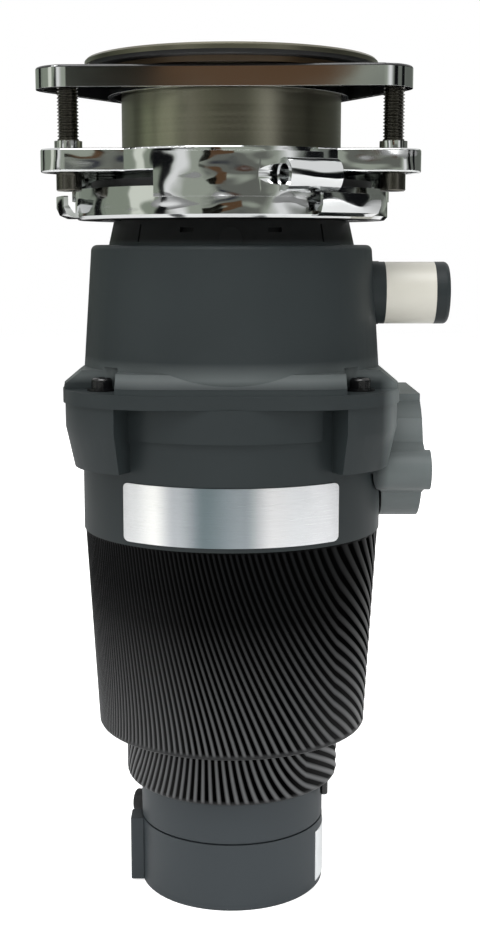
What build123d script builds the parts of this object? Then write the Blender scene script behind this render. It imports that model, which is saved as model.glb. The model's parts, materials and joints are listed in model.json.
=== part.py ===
from build123d import *
import math
import os

# A food-waste disposer with the three-screw mounting that hangs it from a sink.
# Millimetres, +Z up. The floor face of the base is Z = 0 and the motor's axis is X = Y = 0.
# The front is -Y, and the discharge outlet and the dishwasher inlet point to +X.
# A bearing is an angle about the axis, 0 degrees at the front and positive towards +X.

# Fits
running_gap = 0.04
skin_gap = 0.05
easy_gap = 0.3
seam_gap = 0.4
# How far a cut runs past the face that it opens, and a fused piece into its neighbour
cut_over = 1.0

# Heights of the outer stack, from the floor up
cup_height = 28.0
collar_rise = 18.6
shell_rise = 23.1
shell_height = 82.9
band_height = 24.6
casing_height = 28.8
hopper_height = 60.0
neck_height = 9.2
neck_tube_height = 9.0
collar_bottom = cup_height + collar_rise
shell_bottom = collar_bottom + shell_rise
shell_top = shell_bottom + shell_height
casing_bottom = shell_top + band_height
parting_height = casing_bottom + casing_height
hopper_top = parting_height + hopper_height
neck_shoulder = hopper_top + neck_height
neck_top = neck_shoulder + neck_tube_height

# Radii of the outer stack
base_radius = 38.3
collar_step = 5.9
shell_step = 11.2
shell_flare = 4.6
band_step = 0.5
casing_step = 0.3
collar_radius = base_radius + collar_step
shell_foot_radius = collar_radius + shell_step
shell_top_radius = shell_foot_radius + shell_flare
band_radius = shell_top_radius + band_step
casing_radius = band_radius + casing_step

# Base
base_wall = 2.6
base_bore = base_radius - base_wall
base_edge = 0.6
plate_thickness = 4.0
plate_sink = 1.8
ledge_width = 7.0
ledge_thickness = 3.0
ledge_top = plate_thickness + ledge_thickness
base_screw_circle = base_bore - 4.0
base_screw_bearings = (60, 180, 300)
base_screw_radius = 1.5
base_screw_head_radius = 2.8
base_screw_head_height = 1.5
post_radius = 3.0
board_bottom = cup_height - 9.0
board_thickness = 1.6
heat_sink_width = 24.0
heat_sink_depth = 10.0
heat_sink_height = 9.0
heat_sink_offset = 6.0
capacitor_radius = 6.0
capacitor_height = 11.0
capacitor_offset = 14.0
choke_radius = 5.0
choke_height = 8.0
choke_offset = 12.0
board_parts_setback = 8.0
button_radius = 4.0
button_edge = 0.8
button_travel = 1.4
button_length = 7.9
button_recess = 0.6
button_offset = 12.0
protector_width = 22.0
protector_depth = 16.0
cable_cover_reach = base_radius + 4.3
cable_cover_width = 10.0
cable_cover_foot = 0.8
cable_cover_edge = 0.8
gland_bearing = -103
gland_radius = 5.0
gland_neck_radius = 3.6
gland_bore_radius = 2.4
gland_length = 4.6
gland_edge = 1.2
gland_height = cup_height + seam_gap / 2
label_thickness = 0.25
rating_label_bottom = 3.0
rating_label_height = 21.5
rating_label_start = 65
rating_label_sweep = 48

# Lower cover and motor shell
cover_bottom = cup_height + seam_gap
cover_inset = 0.1
cover_wall = 3.0
cover_rib_reach = base_radius + 2.6
collar_chamfer = 1.5
spigot_depth = 4.0
spigot_gap = 0.2
shell_wall = 2.6
shell_edge = 1.2

# Ribs of the shell and of the collar. Their grooves lie in planes that fan out from a line which
# rises towards the back: each fan has the line's X, its height at the front of the surface, its
# rise per millimetre and the angle from one groove to the next.
rib_depth = 0.85
rib_land = 1.0
rib_seam = 170
rib_front = 60
rib_spread = 0.3
rib_slab_proud = 6.0
rib_levels = 16
shell_fan = (-46.0, shell_top + 92.4, 0.286, 0.0495)
shell_groove_width = 2.4
collar_fan = (-15.0, shell_bottom + 80.3, 1.24, 0.08)
collar_groove_width = 2.6
cover_flange_bottom = shell_bottom + shell_wall
cover_flange_reach = 3.2
cover_flange_thickness = 2.7
cover_screw_circle = base_radius + 2.9
cover_screw_bearings = (68, 248)
cover_screw_radius = 0.9
cover_screw_head_radius = 1.6
cover_screw_head_height = 5.6
cover_screw_edge = 0.6
cover_screw_length = 5.0

# Trim band and nameplate
band_wall = 2.6
nameplate_width = 82.0
nameplate_bottom = shell_top + 1.8
nameplate_corner = 2.0
nameplate_thickness = 0.6
nameplate_edge_gap = 0.3

# Motor
shaft_radius = 6.0
shaft_journal_radius = shaft_radius - 2.0
shaft_top_radius = shaft_radius - 1.0
shaft_end = 1.0
shaft_stub = 1.5
end_cap_thickness = 4.0
end_cap_radius = shell_foot_radius - 5.0
end_cap_bottom = cover_flange_bottom + cover_flange_thickness
end_cap_top = end_cap_bottom + end_cap_thickness
can_radius = end_cap_radius - 0.4
can_wall = 2.5
can_top = casing_bottom - 17.2
lower_bearing_radius = shaft_journal_radius + 7.0
lower_bearing_bottom = end_cap_bottom - 14.0
lower_bearing_height = 7.0
lower_bearing_top = lower_bearing_bottom + lower_bearing_height
bearing_lip = 2.0
hub_wall = 3.0
commutator_radius = shaft_radius + 8.0
commutator_bottom = lower_bearing_top + 3.0
commutator_height = 19.0
brush_width = 6.0
brush_height = 8.0
brush_length = 12.7
brush_proud = 3.2
brush_holder_length = 15.5
brush_holder_wall = 1.9
spring_leaf = 0.5
air_gap = 1.0
magnet_thickness = 8.45
magnet_sweep = 130
magnet_overlap = 4.0
armature_radius = can_radius - can_wall - skin_gap - magnet_thickness - air_gap
armature_bottom = commutator_bottom + commutator_height + 7.0
armature_top = can_top - 25.0
armature_slot_count = 12
armature_slot_width = 2.4
winding_radius = armature_radius - 11.0
winding_overhang = 5.6
winding_edge = 2.0
armature_slot_start = winding_radius + 5.0
through_bolt_circle = can_radius - 6.5
through_bolt_radius = 2.0
through_bolt_head_radius = 4.0
through_bolt_head_height = 3.0
plate_rim_wall = 3.4
bearing_plate_thickness = 6.0
bearing_plate_top = can_top + bearing_plate_thickness
upper_bearing_radius = shaft_radius + 10.0
upper_bearing_height = 10.0
upper_bearing_top = bearing_plate_top - bearing_lip
upper_boss_wall = 4.0
upper_boss_skirt = 1.0

# Grinding chamber
floor_thickness = 3.0
floor_top = casing_bottom + floor_thickness
casing_bore = casing_radius - 6.3
seal_radius = shaft_radius + 6.0
seal_height = 4.8
flange_half_x = casing_radius + 4.7
flange_half_y = casing_radius + 0.7
flange_corner = 38.0
casing_rim_inset = 0.8
casing_rim_height = 9.4
corner_taper = 12
corner_bottom = casing_bottom + 3.8
front_panel_left = 43.0
front_panel_right = 34.4
front_panel_height = 12.7
front_panel_face = casing_radius + 1.1
front_relief_margin = 3.5
front_relief_run = 9.0
front_relief_depth = 17.5
ring_radius = casing_bore - 8.2
ring_wall = 3.0
ring_flange_radius = casing_bore + 1.5
ring_flange_thickness = 2.4
ring_slot_count = 24
ring_slot_width = 4.0
ring_slot_height = 9.0
table_radius = ring_radius - 0.8
table_thickness = 3.5
table_bottom = casing_bottom + 10.8
table_top = table_bottom + table_thickness
ring_bottom = table_bottom - 1.5
table_hub_radius = 14.0
table_hub_height = 5.0
table_hole_count = 8
table_hole_radius = 2.0
table_hole_circle = table_radius - 7.5
table_nut_flats = 15.0
table_nut_height = 5.5
impeller_circle = ring_radius - 18.8
impeller_pin_radius = 3.0
impeller_pin_head_radius = 5.0
impeller_pin_head_height = 2.0
impeller_reach = 11.0
impeller_half_width = 6.0
impeller_plate = 4.0
impeller_tooth_height = 12.0
impeller_tooth_length = 7.0
seal_groove_radius = ring_flange_radius + 1.6
seal_groove_width = 2.4
seal_groove_depth = 0.8

# Discharge outlet, on the +X side of the casing
outlet_centre_y = 13.0
outlet_centre_z = casing_bottom + 2.8
outlet_tube_radius = 26.0
outlet_bore_radius = 19.0
outlet_window_radius = 18.5
outlet_start = 30.0
outlet_end = casing_radius + 16.2
outlet_box_front = 1.0
outlet_box_drop = 5.0
outlet_foot_rise = 6.0
outlet_cheek_width = 1.5
outlet_cheek_drop = 3.5
outlet_ramp_start = 6.0
outlet_ramp_rise = 2.5
outlet_ramp_run = 8.0
outlet_ramp_drop = 4.0
outlet_lug_spacing = 61.4
outlet_lug_radius = 8.0
outlet_lug_height = casing_bottom + 0.3
outlet_lug_end = outlet_end + 2.0
outlet_screw_radius = 2.6
outlet_screw_depth = 14.0

# Sink sleeve and rim
sleeve_radius = 43.3
sleeve_wall = 2.0
sleeve_bore = sleeve_radius - sleeve_wall
sleeve_groove_depth = 1.0
sleeve_groove_height = 2.0
rim_radius = sleeve_radius + 14.2
rim_thickness = 1.8
rim_curve = 4.0
rim_edge = 0.8
rim_droop = 0.6
rim_lip = 1.1
rim_dip = 0.2
rim_seal_radius = rim_radius - 1.7
rim_seal_thickness = 1.7
rim_gasket_radius = sleeve_radius + 6.3
rim_gasket_thickness = 2.0
snap_ring_radius = sleeve_radius + 2.5
snap_ring_thickness = 1.7
snap_ring_sweep = 330

# Hopper housing
flange_edge = 5.3
flange_top = parting_height + flange_edge
flange_draft = 10
shoulder_edge = 2.2
shoulder_rise = 5.0
shoulder_taper = 50
hopper_foot_radius = casing_radius - 0.5
hopper_top_radius = hopper_foot_radius - 4.3
hopper_edge = 2.4
hopper_bore_foot = casing_bore + 0.5
hopper_bore_top = hopper_bore_foot - 2.0
hopper_lid = 3.0
neck_bore = sleeve_bore - 0.3
neck_tube_radius = neck_bore + 3.1
neck_top_radius = neck_tube_radius + 2.8
neck_foot_radius = neck_tube_radius + 4.9
neck_slit_bearing = 46
neck_slit_width = 0.9
neck_slit_depth = 1.6
neck_slit_margin = 1.5
neck_tab_radius = 4.4
neck_tab_reach = neck_foot_radius + 1.4
neck_tab_rise = 2.0
neck_notch_bearing = 20
neck_notch_width = 5.4
neck_notch_height = 1.8
screw_half_x = flange_half_x - 16.5
screw_half_y = flange_half_y - 21.5
screw_pad_radius = 6.2
screw_pad_height = 8.6
screw_radius = 2.4
screw_head_radius = 4.0
screw_head_height = 4.0
screw_head_edge = 1.4
screw_length = 18.0
washer_radius = 5.6
washer_thickness = 1.0
inlet_height = hopper_top - 19.0
inlet_radius = 12.4
inlet_bore_radius = 9.0
inlet_end = hopper_top_radius + 31.0
inlet_edge = 2.0
inlet_stop_radius = inlet_radius + 0.25
inlet_stop_end = hopper_top_radius + 3.0
inlet_label_start = hopper_top_radius + 5.4
inlet_label_length = 19.9
inlet_label_radius = inlet_radius - skin_gap
plug_thickness = 2.0
plug_start = hopper_top_radius + 0.5

# Mounting on top of the neck
hanger_radius = neck_tube_radius + 11.9
hanger_thickness = 3.0
hanger_bottom = neck_top - hanger_thickness
cushion_radius = hanger_radius - 0.5
cushion_bore = neck_bore - 2.5
cushion_ledge = 2.2
cushion_rim = 3.9
cushion_crown = 0.2
guard_bottom = neck_top + cushion_ledge
guard_thickness = 1.6
guard_top = guard_bottom + guard_thickness
guard_radius = sleeve_radius
guard_mouth_radius = 14.0
guard_slit_count = 6
guard_slit_width = 1.6
guard_slit_length = 20.0
sleeve_bottom = guard_top + easy_gap

# Lock ring
lock_radius = hanger_radius + 6.0
lock_wall = 3.5
lock_edge = 1.2
lock_bottom = neck_top - 8.6
lock_band_top = lock_bottom + 11.4
lock_web_thickness = 5.2
lock_web_bore = neck_tube_radius + 0.8
hook_radius = lock_radius + 1.4
hook_wall = 3.0
hook_inner = hook_radius - hook_wall
hook_bottom = lock_bottom + 7.4
hook_top = lock_bottom + 23.4
hook_start = -26
hook_sweep = 58
lip_start = 19.5
lip_sweep = 12
lip_thickness = 2.7
lip_reach = 2.8
lug_start = 28.5
lug_sweep = 25.0
lug_reach = lock_radius + 7.4
lug_bottom = lock_bottom + 0.6
lug_top = lock_bottom + 8.8
lug_wall = 1.8
lug_bend = 4.0
socket_bearing = 26
socket_circle = lock_radius + 3.0
socket_radius = 5.9
socket_bore = 3.75
socket_length = 21.0
socket_rise = 15.1
socket_height = lock_bottom + socket_rise
key_way_radius = socket_bore + 0.8
key_way_length = 8.0

# Mounting ring, support flange and clamp screws
ear_bearings = (60, 180, 300)
mount_radius = hook_inner - 0.4
mount_bottom = neck_top + 8.2
mount_thickness = 8.6
mount_top = mount_bottom + mount_thickness
mount_ear_radius = 10.4
mount_boss_radius = 5.2
mount_boss_height = 3.0
mount_edge = 0.8
free_start = 4.5
ramp_lead = 1.0
ramp_land = 0.5
screw_circle = mount_radius + 10.0
sleeve_groove_bottom = mount_bottom - 1.9
support_bottom = mount_top + 21.9
support_height = 8.0
support_top = support_bottom + support_height
support_hole_radius = sleeve_radius + 1.6
support_ear_circle = screw_circle - 4.5
support_wall = 2.6
support_side_wall = 1.35
support_ear_radius = support_hole_radius + support_side_wall - support_ear_circle / 2
support_plate = 2.6
support_edge = 1.0
support_shift = -1.3
support_turn = -2.5
gasket_gap = 0.5
rim_bottom = support_top + gasket_gap + rim_gasket_thickness + rim_seal_thickness + 2 * skin_gap
rim_top = rim_bottom + rim_thickness
screw_tip_gap = 0.2
screw_tip = 1.0
thread_radius = 4.0
thread_pitch = 1.25
thread_depth = 0.55
thread_bottom = mount_top + 3.6
thread_top = support_top - support_plate - screw_tip_gap
thread_runout = 2.0
thread_turns = int((thread_top - thread_runout - thread_bottom) / thread_pitch)
clamp_head_radius = 4.7
clamp_head_height = 6.4
clamp_head_top = mount_bottom - easy_gap
clamp_head_edge = 0.7
clamp_head_socket = 2.5
clamp_head_socket_depth = 3.5


def turned(*outline):
    """A solid turned about the axis from (radius, height) points."""
    return revolve(Plane.XZ * make_face(Polyline(*outline, close=True)), Axis.Z)


def ring(inner, outer, bottom, top):
    """An upright ring."""
    return turned((inner, bottom), (outer, bottom), (outer, top), (inner, top))


def post(radius, bottom, top):
    """An upright round bar on the axis."""
    return Pos(0, 0, (bottom + top) / 2) * Cylinder(radius, top - bottom)


def block(low, high):
    """A box from its lowest to its highest corner."""
    size = [high[i] - low[i] for i in range(3)]
    middle = [(high[i] + low[i]) / 2 for i in range(3)]
    return Pos(*middle) * Box(*size)


def at_bearing(solid, bearing):
    """Turns a solid that was drawn towards +X so that it lies at a bearing."""
    return Rot(0, 0, bearing - 90) * solid


def turned_sector(outline, start, sweep):
    """A part-turned solid from one bearing through a sweep."""
    face = Plane.XZ * make_face(Polyline(*outline, close=True))
    return at_bearing(revolve(face, Axis.Z, sweep), start)


def ring_sector(inner, outer, bottom, top, start, sweep):
    """Part of an upright ring, from one bearing through a sweep."""
    outline = ((inner, bottom), (outer, bottom), (outer, top), (inner, top))
    return turned_sector(outline, start, sweep)


def lying(radius, start, end):
    """A round bar along +X from one distance to another."""
    return Pos((start + end) / 2, 0, 0) * Rot(0, 90, 0) * Cylinder(radius, end - start)


def flange_outline(inset=0.0):
    """The rounded rectangle that the two casing flanges share."""
    width = 2 * (flange_half_x - inset)
    depth = 2 * (flange_half_y - inset)
    return RectangleRounded(width, depth, flange_corner - inset)


def ear_outline(circle, radius):
    """A rounded triangle with its three corners at the ears."""
    corners = [
        (circle * math.sin(math.radians(b)), -circle * math.cos(math.radians(b)))
        for b in ear_bearings
    ]
    return offset(make_face(Polyline(*corners, close=True)), amount=radius, kind=Kind.ARC)


def base_cup():
    cup = turned(
        (base_radius - base_edge, 0),
        (base_radius, base_edge),
        (base_radius, cup_height),
        (base_bore, cup_height),
        (base_bore, ledge_top),
        (base_bore - ledge_width, ledge_top),
        (base_bore - ledge_width, plate_thickness),
        (base_bore, plate_thickness),
        (base_bore, 0),
    )
    for bearing in base_screw_bearings:
        cup += at_bearing(Pos(base_screw_circle, 0, 0) * post(post_radius, ledge_top, board_bottom), bearing)
    for bearing in base_screw_bearings:
        hole = post(base_screw_radius + skin_gap, plate_thickness, ledge_top + ledge_thickness)
        cup -= at_bearing(Pos(base_screw_circle, 0, 0) * hole, bearing)
    return cup - gland_hole()


def base_plate():
    plate = post(base_bore - easy_gap, 0, plate_thickness)
    hole = post(base_screw_radius + easy_gap, 0, plate_thickness)
    hole += post(base_screw_head_radius + easy_gap, 0, plate_sink)
    for bearing in base_screw_bearings:
        plate -= at_bearing(Pos(base_screw_circle, 0, 0) * hole, bearing)
    return plate - Pos(0, -button_offset, 0) * post(button_radius + easy_gap, 0, plate_thickness)


def base_screws():
    screw = post(base_screw_head_radius, plate_sink - base_screw_head_height, plate_sink)
    screw += post(base_screw_radius, plate_sink, ledge_top)
    screws = [
        at_bearing(Pos(base_screw_circle, 0, 0) * screw, bearing) for bearing in base_screw_bearings
    ]
    return screws[0] + screws[1:]


def rectifier_board():
    board = post(base_bore - easy_gap, board_bottom, board_bottom + board_thickness)
    top = board_bottom + board_thickness
    half = heat_sink_width / 2
    back = heat_sink_offset + heat_sink_depth
    board += block((-half, heat_sink_offset, top), (half, back, top + heat_sink_height))
    capacitor = post(capacitor_radius, top, top + capacitor_height)
    choke = post(choke_radius, top, top + choke_height)
    board += Pos(-capacitor_offset, -board_parts_setback, 0) * capacitor
    return board + Pos(choke_offset, -board_parts_setback, 0) * choke


def overload_protector():
    half = protector_width / 2
    front = -button_offset - protector_depth / 2
    body = block((-half, front, plate_thickness), (half, front + protector_depth, board_bottom))
    well_top = button_recess + button_length + button_travel + seam_gap
    return body - Pos(0, -button_offset, 0) * post(button_radius + easy_gap, plate_thickness, well_top)


def reset_button():
    button = post(button_radius, button_recess, button_recess + button_length)
    button = Pos(0, -button_offset, 0) * button
    return fillet(button.edges().sort_by(Axis.Z)[0], button_edge)


def cable_cover():
    cover = block(
        (-cable_cover_reach, -cable_cover_width, cable_cover_foot),
        (-base_bore, 0, cup_height),
    )
    cover = fillet(cover.edges().filter_by(Axis.Z).sort_by(Axis.X)[:2], cable_cover_edge)
    return cover - post(base_radius + skin_gap, 0, cup_height)


def gland_hole():
    """The round hole for the gland, half in the cup and half in the cover above it."""
    hole = lying(gland_neck_radius + skin_gap, base_radius - 3 * base_wall, base_radius + base_wall)
    return Pos(0, 0, gland_height) * at_bearing(hole, gland_bearing)


def cord_gland():
    gland = lying(gland_radius, base_radius + easy_gap, base_radius + gland_length)
    gland = fillet(gland.edges().sort_by(Axis.X)[-1], gland_edge)
    gland += lying(gland_neck_radius, base_bore, base_radius + gland_length)
    gland -= lying(gland_bore_radius, base_bore, base_radius + gland_length)
    return Pos(0, 0, gland_height) * at_bearing(gland, gland_bearing)


def rating_label():
    inner = base_radius + skin_gap
    top = rating_label_bottom + rating_label_height
    return ring_sector(
        inner, inner + label_thickness, rating_label_bottom, top, rating_label_start, rating_label_sweep
    )


def rib_reach(bearing):
    """How far across a rib at a bearing counts: its sine at the front, and steadily more behind."""
    limit = math.radians(rib_front)
    past = max(abs(bearing) - limit, 0)
    reach = math.sin(min(abs(bearing), limit)) + math.cos(limit) * past + rib_spread / 2 * past**2
    return math.copysign(reach, bearing)


def rib_bearing(fan, angle, radius, height):
    """The bearing at which the plane at an angle of the fan meets a round wall at a height."""
    line_x, line_z, rise, step = fan
    low, high = -math.pi, math.pi
    for halving in range(40):
        middle = (low + high) / 2
        across = radius * rib_reach(middle) - line_x
        down = line_z + rise * radius * (1 - math.cos(middle)) - height
        if math.atan2(across, down) < angle:
            low = middle
        else:
            high = middle
    return (low + high) / 2


def on_wall(bearing, radius, height):
    return Vector(radius * math.sin(bearing), -radius * math.cos(bearing), height)


def rib_grooves(fan, width, foot, head):
    """The grooves between the ribs of a round wall from its foot to its head, each (radius, height)."""
    skin = turned(
        (foot[0] - rib_depth, foot[1]),
        (foot[0] + cut_over, foot[1]),
        (head[0] + cut_over, head[1]),
        (head[0] - rib_depth, head[1]),
    )
    shares = [level / rib_levels for level in range(rib_levels + 1)]
    levels = [(foot[0] + (head[0] - foot[0]) * s, foot[1] + (head[1] - foot[1]) * s) for s in shares]
    count = int(math.pi / fan[3])
    grooves = []
    for number in range(-count // 2, count // 2):
        angle = (number + 0.5) * fan[3]
        places = [(rib_bearing(fan, angle, *level), *level) for level in levels]
        places = [place for place in places if abs(place[0]) < math.radians(rib_seam)]
        if len(places) < 3:
            continue
        low, middle, high = (on_wall(*places[i]) for i in (0, len(places) // 2, -1))
        outward = Vector(middle.X, middle.Y, 0).normalized()
        along = high - low
        along -= outward * along.dot(outward)
        slab = Box(along.length + 2 * width, width, foot[0])
        centre = middle + outward * (rib_slab_proud - foot[0] / 2)
        grooves.append(skin & (Plane(origin=centre, x_dir=along, z_dir=outward) * slab))
    return grooves


def lower_cover():
    outer = base_radius - cover_inset
    spigot = base_bore - spigot_gap
    inner = collar_radius - cover_wall
    cover = turned(
        (outer, cover_bottom),
        (outer, collar_bottom),
        (collar_radius - collar_chamfer, collar_bottom),
        (collar_radius, collar_bottom + collar_chamfer),
        (collar_radius, cover_flange_bottom),
        (collar_radius + cover_flange_reach, cover_flange_bottom),
        (collar_radius + cover_flange_reach, end_cap_bottom),
        (inner, end_cap_bottom),
        (inner, collar_bottom + cover_wall),
        (spigot - cover_wall, collar_bottom + cover_wall),
        (spigot - cover_wall, cup_height - spigot_depth),
        (spigot, cup_height - spigot_depth),
        (spigot, cover_bottom),
    )
    rib = block(
        (-cover_rib_reach, -cable_cover_width, cover_bottom),
        (-spigot, 0, collar_bottom),
    )
    cover += rib
    foot = (collar_radius, collar_bottom + collar_chamfer + rib_land)
    cover -= rib_grooves(collar_fan, collar_groove_width, foot, (collar_radius, shell_bottom))
    for bearing in cover_screw_bearings:
        hole = post(cover_screw_radius + skin_gap, collar_bottom, collar_bottom + cover_screw_length)
        cover -= at_bearing(Pos(cover_screw_circle, 0, 0) * hole, bearing)
    return cover - gland_hole()


def cover_screws():
    top = collar_bottom - skin_gap
    screw = post(cover_screw_head_radius, top - cover_screw_head_height, top)
    screw = fillet(screw.edges().sort_by(Axis.Z)[0], cover_screw_edge)
    screw += post(cover_screw_radius, top, collar_bottom + cover_screw_length)
    screws = [at_bearing(Pos(cover_screw_circle, 0, 0) * screw, b) for b in cover_screw_bearings]
    return screws[0] + screws[1]


def motor_shell():
    slope = (shell_top_radius - shell_foot_radius) / (shell_top - shell_bottom)
    floor = shell_bottom + shell_wall
    shell = turned(
        (collar_radius + easy_gap, shell_bottom),
        (shell_foot_radius - shell_edge, shell_bottom),
        (shell_foot_radius, shell_bottom + shell_edge),
        (shell_top_radius, shell_top),
        (shell_top_radius - shell_wall, shell_top),
        (shell_foot_radius - shell_wall + slope * shell_wall, floor),
        (collar_radius + easy_gap, floor),
    )
    foot_height = shell_bottom + shell_edge + rib_land
    foot = (shell_foot_radius + slope * (shell_edge + rib_land), foot_height)
    return shell - rib_grooves(shell_fan, shell_groove_width, foot, (shell_top_radius, shell_top))


def trim_band():
    return ring(band_radius - band_wall, band_radius, shell_top, casing_bottom)


def nameplate():
    inner = band_radius + skin_gap
    top = casing_bottom - nameplate_edge_gap
    curved = ring(inner, inner + nameplate_thickness, nameplate_bottom, top)
    height = top - nameplate_bottom
    window = RectangleRounded(nameplate_width, height, nameplate_corner)
    upright = Pos(0, 0, (top + nameplate_bottom) / 2) * (Plane.XZ * window)
    return curved & extrude(upright, 2 * band_radius)


def motor_end_cap():
    seat = lower_bearing_radius + skin_gap
    lip = lower_bearing_radius - hub_wall
    well = commutator_radius + hub_wall
    cap = turned(
        (lip, lower_bearing_bottom - bearing_lip),
        (seat + hub_wall, lower_bearing_bottom - bearing_lip),
        (seat + hub_wall, lower_bearing_top - bearing_lip),
        (well + hub_wall, lower_bearing_top - bearing_lip),
        (well + hub_wall, end_cap_bottom),
        (end_cap_radius, end_cap_bottom),
        (end_cap_radius, end_cap_top),
        (well, end_cap_top),
        (well, lower_bearing_top),
        (seat, lower_bearing_top),
        (seat, lower_bearing_bottom),
        (lip, lower_bearing_bottom),
    )
    for bearing in (90, 270):
        hole = post(through_bolt_radius + skin_gap, end_cap_bottom, end_cap_top)
        cap -= at_bearing(Pos(through_bolt_circle, 0, 0) * hole, bearing)
    return cap


def lower_bearing():
    return ring(
        shaft_journal_radius + running_gap, lower_bearing_radius, lower_bearing_bottom, lower_bearing_top
    )


def motor_can():
    return ring(can_radius - can_wall, can_radius, end_cap_top, can_top)


def magnets():
    inner = armature_radius + air_gap
    outer = can_radius - can_wall - skin_gap
    arcs = [
        ring_sector(
            inner,
            outer,
            armature_bottom - magnet_overlap,
            armature_top + magnet_overlap,
            centre - magnet_sweep / 2,
            magnet_sweep,
        )
        for centre in (0, 180)
    ]
    return arcs[0] + arcs[1]


def brush_centre_height():
    return end_cap_top + brush_holder_wall + brush_height / 2 + skin_gap


def brush_start():
    return commutator_radius + easy_gap


def brush_holders():
    start = brush_start() + brush_proud
    end = start + brush_holder_length
    half = brush_width / 2 + brush_holder_wall
    low = end_cap_top
    high = low + brush_height + 2 * brush_holder_wall + 2 * skin_gap
    holder = block((start, -half, low), (end, half, high))
    clear = brush_width / 2 + skin_gap
    channel_low = low + brush_holder_wall
    channel_high = high - brush_holder_wall
    holder -= block((start, -clear, channel_low), (end - brush_holder_wall, clear, channel_high))
    return at_bearing(holder, 0) + at_bearing(holder, 180)


def carbon_brushes():
    start = brush_start()
    middle = brush_centre_height()
    brush = block(
        (start, -brush_width / 2, middle - brush_height / 2),
        (start + brush_length, brush_width / 2, middle + brush_height / 2),
    )
    return at_bearing(brush, 0) + at_bearing(brush, 180)


def brush_springs():
    start = brush_start() + brush_length
    end = brush_start() + brush_proud + brush_holder_length - brush_holder_wall
    middle = brush_centre_height()
    half = brush_width / 2 - spring_leaf
    reach = brush_height / 2 - spring_leaf
    spring = block((start, -half, middle - reach), (start + spring_leaf, half, middle + reach))
    spring += block((end - spring_leaf, -half, middle - reach), (end, half, middle + reach))
    spring += block((start, -half, middle + reach - spring_leaf), (end, half, middle + reach))
    return at_bearing(spring, 0) + at_bearing(spring, 180)


def bearing_plate():
    rim = band_radius - band_wall - seam_gap
    seat = upper_bearing_radius + skin_gap
    boss = seat + upper_boss_wall
    boss_bottom = upper_bearing_top - upper_bearing_height - upper_boss_skirt
    lip = upper_bearing_radius - upper_boss_wall
    plate = turned(
        (seat, boss_bottom),
        (boss, boss_bottom),
        (boss, can_top),
        (rim, can_top),
        (rim, casing_bottom),
        (rim - plate_rim_wall, casing_bottom),
        (rim - plate_rim_wall, bearing_plate_top),
        (lip, bearing_plate_top),
        (lip, upper_bearing_top),
        (seat, upper_bearing_top),
    )
    for bearing in (90, 270):
        hole = post(through_bolt_radius + skin_gap, can_top, bearing_plate_top)
        plate -= at_bearing(Pos(through_bolt_circle, 0, 0) * hole, bearing)
    return plate


def upper_bearing():
    return ring(
        shaft_radius + running_gap,
        upper_bearing_radius,
        upper_bearing_top - upper_bearing_height,
        upper_bearing_top,
    )


def through_bolts():
    bolt = post(through_bolt_radius, end_cap_bottom, bearing_plate_top)
    bolt += post(through_bolt_head_radius, bearing_plate_top, bearing_plate_top + through_bolt_head_height)
    bolts = [at_bearing(Pos(through_bolt_circle, 0, 0) * bolt, bearing) for bearing in (90, 270)]
    return bolts[0] + bolts[1]


def rotor_shaft():
    journal_bottom = lower_bearing_bottom - shaft_stub
    shaft = post(shaft_journal_radius, journal_bottom, lower_bearing_top + easy_gap)
    shaft += post(shaft_radius, lower_bearing_top + easy_gap, table_bottom - table_hub_height)
    top = table_top + table_nut_height + shaft_end
    return shaft + post(shaft_top_radius, table_bottom - table_hub_height, top)


def armature_core():
    core = ring(shaft_radius + skin_gap, armature_radius, armature_bottom, armature_top)
    half = armature_slot_width / 2
    slot = block(
        (armature_slot_start, -half, armature_bottom), (armature_radius + cut_over, half, armature_top)
    )
    for index in range(armature_slot_count):
        core -= Rot(0, 0, 360 / armature_slot_count * index) * slot
    return core


def armature_windings():
    inner = shaft_radius + skin_gap
    low = ring(inner, winding_radius, armature_bottom - winding_overhang, armature_bottom)
    high = ring(inner, winding_radius, armature_top, armature_top + winding_overhang)
    low_rims = low.edges().filter_by(GeomType.CIRCLE).sort_by(SortBy.LENGTH)[-2:].sort_by(Axis.Z)
    high_rims = high.edges().filter_by(GeomType.CIRCLE).sort_by(SortBy.LENGTH)[-2:].sort_by(Axis.Z)
    return fillet(low_rims[0], winding_edge) + fillet(high_rims[-1], winding_edge)


def commutator():
    inner = shaft_radius + skin_gap
    return ring(inner, commutator_radius, commutator_bottom, commutator_bottom + commutator_height)


def shaft_seal():
    return ring(
        shaft_radius + running_gap, seal_radius - skin_gap, casing_bottom, casing_bottom + seal_height
    )


def outlet_outline():
    """The outlet's section, as seen along the tube: a round tube, a box top and two screw lugs."""
    half = outlet_lug_spacing / 2
    lug_front = outlet_centre_y - half
    lug_back = outlet_centre_y + half
    lug_top = outlet_lug_height + outlet_lug_radius
    box_bottom = parting_height - outlet_box_drop
    tube = Pos(outlet_centre_y, outlet_centre_z) * Circle(outlet_tube_radius)
    body = make_face(Polyline(
        (outlet_box_front, parting_height),
        (lug_back + outlet_lug_radius, parting_height),
        (lug_back + outlet_lug_radius, outlet_lug_height),
        (outlet_centre_y, outlet_centre_z - outlet_tube_radius + outlet_foot_rise),
        (lug_front, outlet_lug_height - outlet_lug_radius),
        (lug_front - outlet_lug_radius + outlet_cheek_width, lug_top - outlet_cheek_drop),
        (lug_front, lug_top),
        (lug_front + outlet_ramp_start, lug_top + outlet_ramp_rise),
        (outlet_box_front - outlet_ramp_run, box_bottom - outlet_ramp_drop),
        (outlet_box_front, box_bottom),
        close=True,
    ))
    lugs = [Pos(y, outlet_lug_height) * Circle(outlet_lug_radius) for y in (lug_front, lug_back)]
    return tube + body + lugs[0] + lugs[1]


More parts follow.
